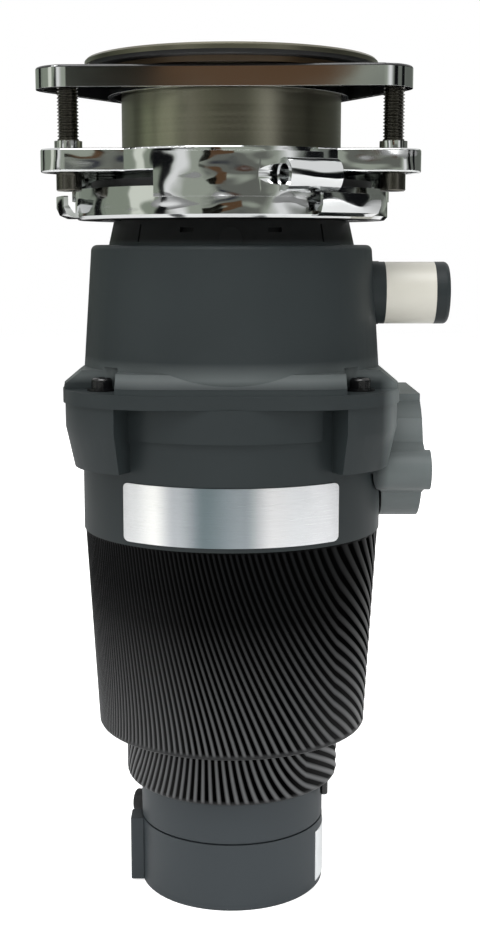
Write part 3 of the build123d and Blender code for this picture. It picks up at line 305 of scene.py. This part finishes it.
def ribbed_plastic():
    """Satin black plastic with a painted highlight on each rib's narrow crest, painted shade in each
    groove, and painted shade that darkens it towards the top.
    """
    material, tree, shader = new_material("ribbed_plastic")
    phase = new_node(tree, "ShaderNodeAttribute", -1300, attribute_name="rib_phase")
    strength = new_node(tree, "ShaderNodeAttribute", -1300, -250, attribute_name="rib_strength")
    phase, strength = phase.outputs["Fac"], strength.outputs["Fac"]
    turns = work_out(tree, "MULTIPLY", (phase, 2 * math.pi), -1100)
    wave = work_out(tree, "COSINE", (turns,), -900)
    line = stretch(tree, wave, -0.35, 1, 0, 1, -700)
    land = stretch(tree, strength, 0, 1, 0.3, 0, -700, -250)
    crest = work_out(tree, "MULTIPLY_ADD", (line, strength, land), -500)

    place = place_on_object(tree, -1300, 300)
    height = stretch(tree, place["Z"], *ribs_shade_rise, 0, 1, -900, 300)
    fade = stretch(tree, height, 0, 0.85, 0, 1, -700, 300)
    # Painted light and shade: the crest colour is light near the foot and darkens towards the top.
    crests_painted_light = mix_colours(tree, fade, colour(82, 83, 84), colour(6, 7, 8), -500, 300)

    # Painted light: the groove colour is greyer on the left, and on the right near the foot.
    left = stretch(tree, place["X"], *painted_light_left, 1, 0, -900, 600)
    right = stretch(tree, place["X"], *painted_light_right, 0, 1, -900, 800)
    lower = stretch(tree, height, 0, 0.7, 0.8, 0, -900, 1000)
    sides = work_out(tree, "MULTIPLY_ADD", (right, lower, left), -700, 800)
    towards_foot = stretch(tree, height, 0, 1, 1, 0.1, -700, 1000)
    grey = work_out(tree, "MULTIPLY", (sides, towards_foot), -500, 800)
    grooves_painted_shade = mix_colours(tree, grey, colour(2, 2, 2), colour(46, 46, 46), -500, 600)

    # Painted highlight on each crest, painted shade in each groove.
    shade = mix_colours(tree, crest, grooves_painted_shade, crests_painted_light, -300)
    add_effect(
        tree, shader, moulded_grain,
        colour=shade, shade_spread=0.06, roughness=0.4, grain_scale=2600, grain_depth=0.00001,
    )
    sheen = stretch(tree, height, 0.1, 1, 0.28, 0.08, -200, -500)
    shine = work_out(tree, "MULTIPLY", (crest, sheen), 0, -300)
    tree.links.new(shine, shader.inputs["Specular IOR Level"])
    return material


def housing():
    """Dark housing plastic with painted shade that makes it nearly black on the neck, a painted highlight
    on the hopper's foot and painted light that makes the outlet greyer.
    """
    material, tree, shader = new_material("housing_plastic")
    place = place_on_object(tree, -1300)
    # Painted light on the outlet's side.
    side = stretch(tree, place["X"], *outlet_painted_light_side, 0, 1, -900, -200)
    low = stretch(tree, place["Z"], *outlet_painted_light_top, 1, 0, -900, -450)
    outlet = work_out(tree, "MULTIPLY", (side, low), -800, -300)
    # Painted highlight on the hopper's foot.
    rising = stretch(tree, place["Z"], *foot_highlight_rise, 0, 1, -900, 500)
    falling = stretch(tree, place["Z"], *foot_highlight_fall, 1, 0, -900, 700)
    foot = work_out(tree, "MULTIPLY", (rising, falling), -700, 500)
    # Painted shade on the neck under the lock ring.
    neck = stretch(tree, place["Z"], *neck_shade_rise, 0, 1, -900, 200)
    shade = mix_colours(tree, outlet, colour(34, 39, 40), colour(88, 94, 94), -700)
    shade = mix_colours(tree, foot, shade, colour(72, 77, 77), -600)
    shade = mix_colours(tree, neck, shade, colour(9, 10, 10), -500)
    add_effect(
        tree, shader, moulded_grain,
        colour=shade, shade_spread=0.05, roughness=0.46, grain_scale=2600, grain_depth=0.00002,
    )
    shine = stretch(tree, neck, 0, 1, 0.2, 0.1, -300, -400)
    tree.links.new(shine, shader.inputs["Specular IOR Level"])
    return material


def painted_reflection_bands(tree, across, width, stops):
    """Painted reflections: shades that follow each other between two places. Each stop is a share of the
    way and a shade.
    """
    share = stretch(tree, across, *width, 0, 1, -900, 500)
    bands = new_node(tree, "ShaderNodeValToRGB", -700, 500)
    bands.color_ramp.interpolation = "EASE"
    for position, shade in stops[1:-1]:
        bands.color_ramp.elements.new(position).color = shade
    for element, (position, shade) in zip(bands.color_ramp.elements, stops):
        element.position = position
        element.color = shade
    tree.links.new(share, bands.inputs[0])
    return bands.outputs[0]


def shade_effect(material, shade):
    """Gives the material's effect its colour from a socket."""
    effect = next(node for node in material.node_tree.nodes if node.type == "GROUP")
    material.node_tree.links.new(shade, effect.inputs["Colour"])


def name_plate():
    """A brushed plate with painted reflections that fall in broad upright bands."""
    material = brushed("brushed_plate", colour(176, 179, 182), 0.3, 0.06, 0.00001, (30, 30, 9000))
    # Painted reflection: bright and dark bands in the plate's colour.
    stops = (
        (0.04, colour(212, 213, 214)),
        (0.14, colour(242, 242, 240)),
        (0.24, colour(178, 182, 186)),
        (0.38, colour(106, 118, 122)),
        (0.56, colour(140, 148, 152)),
        (0.70, colour(222, 222, 223)),
        (0.82, colour(220, 222, 224)),
        (0.94, colour(218, 219, 221)),
    )
    tree = material.node_tree
    place = place_on_object(tree, -1300, 500)
    shade_effect(material, painted_reflection_bands(tree, place["X"], plate_reflection_span, stops))
    return material


def sleeve_steel(squeeze):
    """Brushed stainless with painted reflections in upright bands on the sleeve, the brightest a painted
    highlight, and none on the rim above it.
    """
    plain = colour(108, 106, 92)
    material = brushed("brushed_stainless", plain, 0.34, 0.1, 0.00002, squeeze, around=True)
    # Painted reflection: the light stops near 0.16 are a painted highlight.
    stops = (
        (0.03, colour(112, 110, 96)),
        (0.09, colour(150, 149, 132)),
        (0.16, colour(188, 188, 164)),
        (0.24, colour(146, 145, 127)),
        (0.38, plain),
        (0.54, colour(104, 102, 90)),
        (0.65, colour(134, 132, 118)),
        (0.75, colour(110, 108, 95)),
    )
    tree = material.node_tree
    place = place_on_object(tree, -1300, 500)
    bands = painted_reflection_bands(tree, place["X"], sleeve_reflection_span, stops)
    rim = stretch(tree, place["Z"], *sleeve_top, 0, 1, -900, 700)
    shade_effect(material, mix_colours(tree, rim, bands, plain, -400, 500))
    return material


def chrome(name, waves, depth):
    """Bright plating over a casting that is a little uneven underneath."""
    material, tree, shader = new_material(name)
    shader.inputs["Base Color"].default_value = colour(206, 208, 208)
    shader.inputs["Metallic"].default_value = 1.0
    place = new_node(tree, "ShaderNodeTexCoord", -900)
    uneven = new_node(tree, "ShaderNodeTexNoise", -700)
    uneven.inputs["Scale"].default_value = waves
    uneven.inputs["Detail"].default_value = 0.6
    flattened = new_node(tree, "ShaderNodeMapping", -800)
    flattened.inputs["Scale"].default_value = (1, 1, 2)
    tree.links.new(place.outputs["Object"], flattened.inputs["Vector"])
    tree.links.new(flattened.outputs[0], uneven.inputs["Vector"])
    roughness = stretch(tree, uneven.outputs[0], 0.3, 0.7, 0.06, 0.11, -400)
    tree.links.new(roughness, shader.inputs["Roughness"])
    bump = new_node(tree, "ShaderNodeBump", -300, -300)
    bump.inputs["Distance"].default_value = depth
    bump.inputs["Strength"].default_value = 1
    tree.links.new(uneven.outputs[0], bump.inputs["Height"])
    tree.links.new(bump.outputs[0], shader.inputs["Normal"])
    return material


def circuit_board():
    """Green lacquer with faint tracks."""
    material, tree, shader = new_material("circuit_board")
    place = new_node(tree, "ShaderNodeTexCoord", -900)
    tracks = new_node(tree, "ShaderNodeTexBrick", -700)
    tracks.inputs["Scale"].default_value = 180
    tracks.inputs["Color1"].default_value = colour(24, 92, 46)
    tracks.inputs["Color2"].default_value = colour(18, 80, 40)
    tracks.inputs["Mortar"].default_value = colour(40, 120, 66)
    tree.links.new(place.outputs["Object"], tracks.inputs["Vector"])
    tree.links.new(tracks.outputs["Color"], shader.inputs["Base Color"])
    shader.inputs["Roughness"].default_value = 0.4
    return material


def finishes():
    """One material for each of the record's slots. turned and wound set how fine brushed lines are."""
    turned = (26000, 1, 900)
    wound = (4000, 4000, 4000)
    made = {
        "housing_plastic": housing(),
        "ribbed_plastic": ribbed_plastic(),
        "chrome_casting": chrome("chrome_casting", 30, 0.0002),
        "brushed_stainless": sleeve_steel(turned),
        "brushed_plate": name_plate(),
        "circuit_board": circuit_board(),
        "copper_wire": brushed("copper_wire", colour(170, 92, 52), 0.35, 0.2, 0.0002, wound),
    }
    for name, base, roughness, settings in (
        ("base_plastic", colour(52, 57, 60), 0.48, {"spread": 0.05, "specular": 0.22}),
        ("black_plastic", colour(22, 22, 23), 0.3, {}),
        ("red_plastic", colour(176, 24, 20), 0.32, {}),
        ("black_rubber", colour(24, 24, 25), 0.62, {"scale": 1500, "depth": 0.00004}),
        ("fibre_gasket", colour(52, 40, 24), 0.75, {"spread": 0.2, "scale": 900, "depth": 0.0001}),
        ("white_label", colour(190, 188, 178), 0.34, {"spread": 0.03, "scale": 900}),
        ("black_screw", colour(12, 12, 13), 0.18, {}),
        ("magnet_ferrite", colour(44, 44, 46), 0.7, {}),
        ("carbon", colour(30, 30, 31), 0.7, {}),
        ("plated_screw", colour(92, 90, 84), 0.26, {"spread": 0.12, "metallic": 1.0}),
        ("stainless_cast", colour(150, 150, 148), 0.4, {"metallic": 1.0}),
        ("zinc_screw", colour(150, 152, 156), 0.35, {"metallic": 1.0}),
        ("zinc_flange", colour(150, 152, 156), 0.38, {"metallic": 1.0}),
        ("cast_alloy", colour(150, 152, 154), 0.5, {"metallic": 1.0}),
        ("spring_steel", colour(110, 112, 114), 0.3, {"metallic": 1.0}),
        ("motor_steel", colour(120, 122, 126), 0.4, {"metallic": 1.0}),
        ("brass_holder", colour(190, 160, 90), 0.35, {"metallic": 1.0}),
    ):
        made[name] = grained(name, base, roughness, **settings)
    for name, base, roughness, spread, depth in (
        ("bearing_steel", colour(160, 160, 162), 0.25, 0.06, 0.00001),
        ("shaft_steel", colour(166, 166, 168), 0.22, 0.06, 0.00001),
        ("copper_bar", colour(196, 116, 76), 0.3, 0.08, 0.00002),
    ):
        made[name] = brushed(name, base, roughness, spread, depth, turned, around=True)
    return made


materials = finishes()
wavy_chrome = chrome("wavy_chrome", 56, 0.002)
slots = {part["node"]: part["material_slot"] for part in frame["record"]["subparts"]}


def dress(piece, slot):
    """Gives a piece the finish of one slot."""
    piece.data.materials.clear()
    piece.data.materials.append(materials[slot])


for name, node in frame["nodes"].items():
    dress(node, slots[name])

# The base's label is cooler and brighter than the inlet's, from the same slot.
cool_label = grained("cool_label", colour(218, 221, 222), 0.34, spread=0.03)
frame["nodes"]["rating_label"].data.materials[0] = cool_label


# Modelling helpers


def only(piece):
    """Makes a piece the one selected, active object."""
    bpy.ops.object.select_all(action="DESELECT")
    piece.select_set(True)
    bpy.context.view_layer.objects.active = piece


def settle(piece, name):
    """Names a piece and moves its place into its mesh."""
    only(piece)
    bpy.ops.object.transform_apply(location=True, rotation=True, scale=True)
    piece.name = name
    piece.data.name = name
    return piece


def smooth(piece, angle=35):
    """Shades a piece smooth, up to an angle between its faces."""
    only(piece)
    bpy.ops.object.shade_smooth_by_angle(angle=math.radians(angle))


def softened(node, width):
    """A copy of a CAD node with its doubles merged and its sharp edges rounded."""
    source = frame["nodes"][node]
    piece = bpy.data.objects.new(node + "_soft", source.data.copy())
    bpy.context.scene.collection.objects.link(piece)
    only(piece)
    bpy.ops.object.mode_set(mode="EDIT")
    bpy.ops.mesh.select_all(action="SELECT")
    bpy.ops.mesh.remove_doubles(threshold=0.000004)
    bpy.ops.mesh.dissolve_limited(angle_limit=math.radians(1.0), use_dissolve_boundaries=False)
    bpy.ops.object.mode_set(mode="OBJECT")
    bevel = piece.modifiers.new("edges", "BEVEL")
    bevel.width = width
    bevel.segments = 2
    bevel.limit_method = "ANGLE"
    bevel.angle_limit = math.radians(28)
    bpy.ops.object.modifier_apply(modifier=bevel.name)
    smooth(piece)
    weighted = piece.modifiers.new("normals", "WEIGHTED_NORMAL")
    weighted.keep_sharp = True
    bpy.ops.object.modifier_apply(modifier=weighted.name)
    dress(piece, slots[node])
    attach(piece, source["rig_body"])
    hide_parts(node)
    return piece


def painted_shade_underside(piece, node, slot):
    """Parts the faces inside a casting's hollow from it and gives them their own dark finish, a painted
    shade.
    """
    low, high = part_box(node)
    ceiling = high.z - 2.6 * MM
    facing_in = -0.01
    only(piece)
    for face in piece.data.polygons:
        inside = low.z + 0.5 * MM < face.center.z < ceiling + 0.1 * MM
        flat = face.normal.z < -0.9 and abs(face.center.z - ceiling) < 0.2 * MM
        outward = face.normal.x * face.center.x + face.normal.y * face.center.y
        face.select = flat or (inside and outward < facing_in)
    bpy.ops.object.mode_set(mode="EDIT")
    bpy.ops.mesh.select_mode(type="FACE")
    bpy.ops.mesh.separate(type="SELECTED")
    bpy.ops.object.mode_set(mode="OBJECT")
    hollow = next(other for other in bpy.context.selected_objects if other != piece)
    hollow.name = node + "_underside"
    dress(hollow, slot)
    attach(hollow, frame["nodes"][node]["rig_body"])
    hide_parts(node)


def walled_ring(name, rings, segments):
    """A closed ring wall: a circle extruded through (radius, height) pairs and bridged to its start."""
    radius, height = rings[0]
    bpy.ops.object.select_all(action="DESELECT")
    bpy.ops.mesh.primitive_circle_add(vertices=segments, radius=radius, location=(0, 0, height))
    piece = settle(bpy.context.object, name)
    bpy.ops.object.mode_set(mode="EDIT")
    bpy.ops.mesh.select_mode(type="VERT")
    bpy.ops.mesh.select_all(action="SELECT")
    for next_radius, next_height in rings[1:]:
        bpy.ops.mesh.extrude_region_move(
            TRANSFORM_OT_translate={"value": (0, 0, next_height - height)}
        )
        share = next_radius / radius
        bpy.ops.transform.resize(value=(share, share, 1), center_override=(0, 0, next_height))
        radius, height = next_radius, next_height
    bpy.ops.object.mode_set(mode="OBJECT")
    for vertex in piece.data.vertices:
        vertex.select = vertex.index < segments or vertex.index >= len(piece.data.vertices) - segments
    bpy.ops.object.mode_set(mode="EDIT")
    bpy.ops.mesh.select_mode(type="VERT")
    bpy.ops.mesh.bridge_edge_loops()
    bpy.ops.mesh.select_all(action="SELECT")
    bpy.ops.mesh.normals_make_consistent(inside=False)
    bpy.ops.object.mode_set(mode="OBJECT")
    return piece


# Ribbed shell and collar


def rib_phase(ribs, turn, z):
    """How many ribs lie between the front and each point of a turned wall."""
    low, high = ribs["limits"]
    t = np.clip(turn, low, high)
    v = (ribs["middle"] - z) / ribs["span"] - ribs["dip"] * (1 - np.cos(t))
    a1, a2, a3 = ribs["across"]
    d0, d1, d2 = ribs["down"]
    b0, b1 = ribs["bend"]
    phase = a1 * t + a2 * t**2 + a3 * t**3 + v * (d0 + d1 * t + d2 * t**2) + b0 * v**3 + b1 * t * v**2
    slope = a1 + 2 * a2 * t + 3 * a3 * t**2
    return phase + slope * (turn - t)


def cut_ribs(piece, low, high, ribs, edge_fade):
    """Cuts the ribs into a turned piece between two heights, and keeps each point's phase."""
    near = 0.001 * MM
    same_row = 2 * near
    mesh = piece.data
    points = np.empty(len(mesh.vertices) * 3)
    mesh.vertices.foreach_get("co", points)
    points = points.reshape(-1, 3)
    x, y, z = points.T
    radius = np.hypot(x, y)
    turn = np.arctan2(x, -y)
    outer = np.where((z > low - near) & (z < high + near), radius, 0)
    widest = np.zeros_like(radius)
    for height in np.unique(np.round(z, 6)):
        row = np.abs(z - height) < same_row
        widest[row] = outer[row].max()
    on_wall = (outer > 0) & (radius > widest - 0.4 * MM)
    phase = rib_phase(ribs, turn, z)
    groove = 0.5 - 0.5 * np.cos(2 * math.pi * phase)
    fade = np.clip((z - low) / edge_fade, 0, 1) * np.clip((high - z) / edge_fade, 0, 1)
    land = np.clip((radius * (math.pi - np.abs(turn)) - back_land) / (2 * MM), 0, 1)
    strength = fade * land * on_wall
    scale = 1 - ribs["relief"] * groove * strength / radius
    points[:, 0] = x * scale
    points[:, 1] = y * scale
    mesh.vertices.foreach_set("co", points.ravel())
    mesh.update()
    for name, values in (("rib_phase", phase), ("rib_strength", strength)):
        mesh.attributes.new(name, "FLOAT", "POINT").data.foreach_set("value", values.astype(np.float32))


def motor_shell():
    """The tapered shell, with rows close enough for its ribs to lean smoothly."""
    foot = shell_low.z
    top = shell_high.z
    top_radius = shell_high.x
    taper = 4.6 * MM
    foot_radius = top_radius - taper
    edge = 1.2 * MM
    hole = collar_radius + 0.3 * MM
    rows = 62
    segments = 1500
    rings = [(hole, foot), (foot_radius - edge, foot), (foot_radius - 0.35 * edge, foot + 0.35 * edge)]
    for row in range(rows + 1):
        share = row / rows
        rings.append((
            foot_radius + (top_radius - foot_radius) * share,
            foot + edge + (top - foot - edge) * share,
        ))
    floor_top = foot + shell_wall
    rings += [(top_radius - shell_wall, top), (foot_radius - shell_wall, floor_top), (hole, floor_top)]
    piece = walled_ring("ribbed_shell", rings, segments)
    cut_ribs(piece, foot + edge, top, shell_ribs, 0.8 * MM)
    smooth(piece, 60)
    dress(piece, "ribbed_plastic")
    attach(piece, "disposer")
    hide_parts("motor_shell")


def lower_cover():
    """The ribbed collar with its rounded foot, and the plain skirt under it."""
    collar_foot = cup_high.z + 18.6 * MM
    round_edge = 2.4 * MM
    neck_radius = cup_high.x - 0.1 * MM
    inner_radius = neck_radius + 0.6 * MM
    wall = 3.0 * MM
    top = shell_low.z + shell_wall
    rows = 56
    segments = 800
    rings = [(inner_radius, collar_foot)]
    for step in range(5):
        angle = math.radians(22.5 * step)
        rings.append((
            collar_radius - round_edge * (1 - math.sin(angle)),
            collar_foot + round_edge * (1 - math.cos(angle)),
        ))
    first = collar_foot + round_edge
    for row in range(1, rows + 1):
        rings.append((collar_radius, first + (top - first) * row / rows))
    rings += [(collar_radius - wall, top), (inner_radius, collar_foot + wall)]
    collar = walled_ring("ribbed_collar", rings, segments)
    cut_ribs(collar, collar_foot + 0.5 * MM, top, collar_ribs, 1.6 * MM)
    smooth(collar, 60)
    dress(collar, "ribbed_plastic")
    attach(collar, "disposer")
    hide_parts("lower_cover")

    skirt_foot = cup_high.z + 0.4 * MM
    skirt_top = collar_foot + 1.0 * MM
    skirt = walled_ring(
        "cover_skirt",
        [
            (neck_radius - wall, skirt_foot),
            (neck_radius - 0.4 * MM, skirt_foot),
            (neck_radius, skirt_foot + 0.4 * MM),
            (neck_radius, skirt_top),
            (neck_radius - wall, skirt_top),
        ],
        192,
    )
    smooth(skirt)
    dress(skirt, "base_plastic")
    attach(skirt, "disposer")
    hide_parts("lower_cover")


motor_shell()
lower_cover()
soft = {}
for name, width in (
    ("lock_ring", 0.7 * MM),
    ("mounting_ring", 0.6 * MM),
    ("support_flange", 0.6 * MM),
    ("hopper_housing", 0.5 * MM),
    ("chamber_casing", 1.6 * MM),
    ("base_cup", 0.3 * MM),
    ("cable_cover", 0.3 * MM),
):
    soft[name] = softened(name, width)
for name in ("lock_ring", "mounting_ring"):
    soft[name].data.materials[0] = wavy_chrome
# Painted shade: the support flange's hollow underside is dressed in black plastic.
painted_shade_underside(soft["support_flange"], "support_flange", "black_plastic")
for name in ("sink_flange", "trim_band", "nameplate", "neck_cushion", "hanger_flange"):
    smooth(frame["nodes"][name])


# Studio


def floor():
    """A pale floor that the camera sees as nearly white and that keeps the object's shadow."""
    bpy.ops.object.select_all(action="DESELECT")
    bpy.ops.mesh.primitive_plane_add(size=8, location=(0, 0, 0))
    piece = bpy.context.object
    piece.name = "floor"
    material, tree, shader = new_material("floor")
    tree.nodes.remove(shader)
    out = tree.nodes["Material Output"]
    matte = new_node(tree, "ShaderNodeBsdfDiffuse", -300)
    matte.inputs["Color"].default_value = colour(250, 250, 250)
    glow = new_node(tree, "ShaderNodeEmission", -300, -200)
    glow.inputs["Color"].default_value = (1, 1, 1, 1)
    glow.inputs["Strength"].default_value = 0.7
    path = new_node(tree, "ShaderNodeLightPath", -500)
    added = new_node(tree, "ShaderNodeAddShader", -100)
    tree.links.new(matte.outputs[0], added.inputs[0])
    tree.links.new(glow.outputs[0], added.inputs[1])
    choice = new_node(tree, "ShaderNodeMixShader", 50)
    tree.links.new(path.outputs["Is Camera Ray"], choice.inputs[0])
    tree.links.new(matte.outputs[0], choice.inputs[1])
    tree.links.new(added.outputs[0], choice.inputs[2])
    tree.links.new(choice.outputs[0], out.inputs["Surface"])
    piece.data.materials.append(material)


def world():
    """White to the camera and in reflections, and a plain grey light on the object."""
    sky = bpy.data.worlds.new("studio")
    bpy.context.scene.world = sky
    sky.use_nodes = True
    tree = sky.node_tree
    tree.nodes.clear()
    out = new_node(tree, "ShaderNodeOutputWorld", 400)
    seen = new_node(tree, "ShaderNodeBackground", 0, 100)
    seen.inputs["Color"].default_value = (1, 1, 1, 1)
    seen.inputs["Strength"].default_value = 1
    lit = new_node(tree, "ShaderNodeBackground", 0, -100)
    lit.inputs["Color"].default_value = (1, 1, 1, 1)
    lit.inputs["Strength"].default_value = 0.3
    path = new_node(tree, "ShaderNodeLightPath", -600)
    rays = [path.outputs["Is " + kind + " Ray"] for kind in ("Camera", "Glossy", "Transmission")]
    seen_or_mirrored = work_out(tree, "MAXIMUM", rays[:2], -400)
    white = work_out(tree, "MAXIMUM", (seen_or_mirrored, rays[2]), -200)
    choice = new_node(tree, "ShaderNodeMixShader", 200)
    tree.links.new(white, choice.inputs[0])
    tree.links.new(lit.outputs[0], choice.inputs[1])
    tree.links.new(seen.outputs[0], choice.inputs[2])
    tree.links.new(choice.outputs[0], out.inputs["Surface"])


def turned_to(place, aim, axis):
    """The turn that points an axis from one place at another."""
    return (Vector(aim) - Vector(place)).to_track_quat(axis, "Y").to_euler()


def lamp(name, place, aim, width, height, power, mirrored=True):
    """A soft lamp, left out of reflections unless it is mirrored."""
    data = bpy.data.lights.new(name, "AREA")
    data.shape = "RECTANGLE"
    data.size = width
    data.size_y = height
    data.energy = power
    light = bpy.data.objects.new(name, data)
    bpy.context.scene.collection.objects.link(light)
    light.location = place
    light.visible_glossy = mirrored
    light.rotation_euler = turned_to(place, aim, "-Z")


def card(name, place, aim, width, height, shade, soft):
    """A card of one shade that only shows in reflections. soft is the share of it that its edges take."""
    bpy.ops.object.select_all(action="DESELECT")
    bpy.ops.mesh.primitive_plane_add(size=1, location=place)
    piece = bpy.context.object
    piece.name = name
    piece.scale = (width, height, 1)
    piece.rotation_euler = turned_to(place, aim, "Z")
    material, tree, shader = new_material(name)
    tree.nodes.remove(shader)
    where = new_node(tree, "ShaderNodeTexCoord", -1300)
    size = new_node(tree, "ShaderNodeVectorMath", -1100, operation="ABSOLUTE")
    tree.links.new(where.outputs["Object"], size.inputs[0])
    parts = new_node(tree, "ShaderNodeSeparateXYZ", -900)
    tree.links.new(size.outputs[0], parts.inputs[0])
    across = stretch(tree, parts.outputs["X"], 0.5 - soft, 0.5, 1, 0, -700)
    upright = stretch(tree, parts.outputs["Y"], 0.5 - soft, 0.5, 1, 0, -700, -250)
    cover = work_out(tree, "MULTIPLY", (across, upright), -500)
    glow = new_node(tree, "ShaderNodeEmission", -300)
    glow.inputs["Color"].default_value = shade
    glow.inputs["Strength"].default_value = 1
    clear = new_node(tree, "ShaderNodeBsdfTransparent", -300, -200)
    choice = new_node(tree, "ShaderNodeMixShader", -100)
    tree.links.new(cover, choice.inputs[0])
    tree.links.new(clear.outputs[0], choice.inputs[1])
    tree.links.new(glow.outputs[0], choice.inputs[2])
    tree.links.new(choice.outputs[0], tree.nodes["Material Output"].inputs["Surface"])
    piece.data.materials.append(material)
    piece.visible_camera = False
    piece.visible_diffuse = False
    piece.visible_shadow = False


def camera():
    """The camera stands where the photograph's perspective puts it."""
    data = bpy.data.cameras.new("camera")
    data.sensor_width = 36
    data.lens = 53.7
    eye = bpy.data.objects.new("camera", data)
    bpy.context.scene.collection.objects.link(eye)
    eye.location = (0.0034, -0.575, 0.264)
    eye.rotation_euler = (math.radians(81), 0, 0)
    bpy.context.scene.camera = eye


middle = (0, 0, 0.17)
eye_level = (0, 0, 0.31)
floor()
world()
camera()
lamp("left", (-1.15, -0.45, 0.5), middle, 0.5, 1.0, 6, mirrored=False)
lamp("right", (1.15, -0.45, 0.4), middle, 0.5, 1.0, 7, mirrored=False)
lamp("front", (-0.1, -1.3, 0.4), middle, 0.7, 0.6, 6.5, mirrored=False)
lamp("rear", (0.3, 1.4, 0.7), middle, 0.9, 0.9, 9, mirrored=False)
lamp("top", (-0.1, -0.45, 1.2), middle, 0.8, 0.6, 11)

# What the castings mirror: pale walls, dark strips at the sides and a few tinted patches in front.
card("front_wall", (0, -2.4, 0.5), eye_level, 3.6, 2.2, colour(170, 176, 164), soft=0.15)
card("left_wall", (-2.4, -0.6, 0.5), eye_level, 3.4, 2.2, colour(150, 158, 144), soft=0.15)
card("right_wall", (2.4, -0.6, 0.5), eye_level, 3.4, 2.2, colour(120, 124, 118), soft=0.15)
card("grey_card", (0.2, -1.75, 0.3), eye_level, 1.5, 0.56, colour(112, 114, 108), soft=0.25)
card("brown_card", (-0.12, -1.7, 0.53), eye_level, 0.3, 0.22, colour(98, 74, 54), soft=0.04)
card("dark_card", (-0.35, -1.69, 0.53), eye_level, 0.24, 0.24, colour(22, 21, 16), soft=0.04)
card("back_wall", (0, 2.8, 0.55), eye_level, 4.4, 1.8, colour(150, 156, 146), soft=0.12)
card("back_left_wall", (-2.0, 1.3, 0.4), eye_level, 2.6, 1.6, colour(140, 148, 136), soft=0.15)
card("back_right_wall", (2.0, 1.3, 0.4), eye_level, 2.6, 1.6, colour(110, 114, 108), soft=0.15)
card("blue_card", (-0.1, -1.6, 0.2), eye_level, 0.4, 0.22, colour(22, 26, 48), soft=0.45)
card("rust_card", (0.1, -1.6, 0.12), eye_level, 0.34, 0.24, colour(84, 60, 50), soft=0.45)
card("window_card", (-1.05, -0.45, 0.5), eye_level, 0.3, 1.0, colour(240, 244, 232), soft=0.2)
card("left_card", (-1.1, -0.95, 0.3), eye_level, 0.25, 1.4, colour(18, 19, 21), soft=0.2)
card("far_left_card", (-1.2, 0.5, 0.3), eye_level, 0.4, 1.4, colour(18, 19, 21), soft=0.2)
card("right_card", (1.25, -0.75, 0.3), eye_level, 0.4, 1.4, colour(18, 19, 21), soft=0.2)
card("far_right_card", (1.3, -0.1, 0.3), eye_level, 0.35, 1.4, colour(18, 19, 21), soft=0.2)
card("back_card", (0, 1.6, 0.1), eye_level, 3.2, 0.44, colour(12, 12, 13), soft=0.1)

bpy.context.scene.view_settings.view_transform = "Standard"
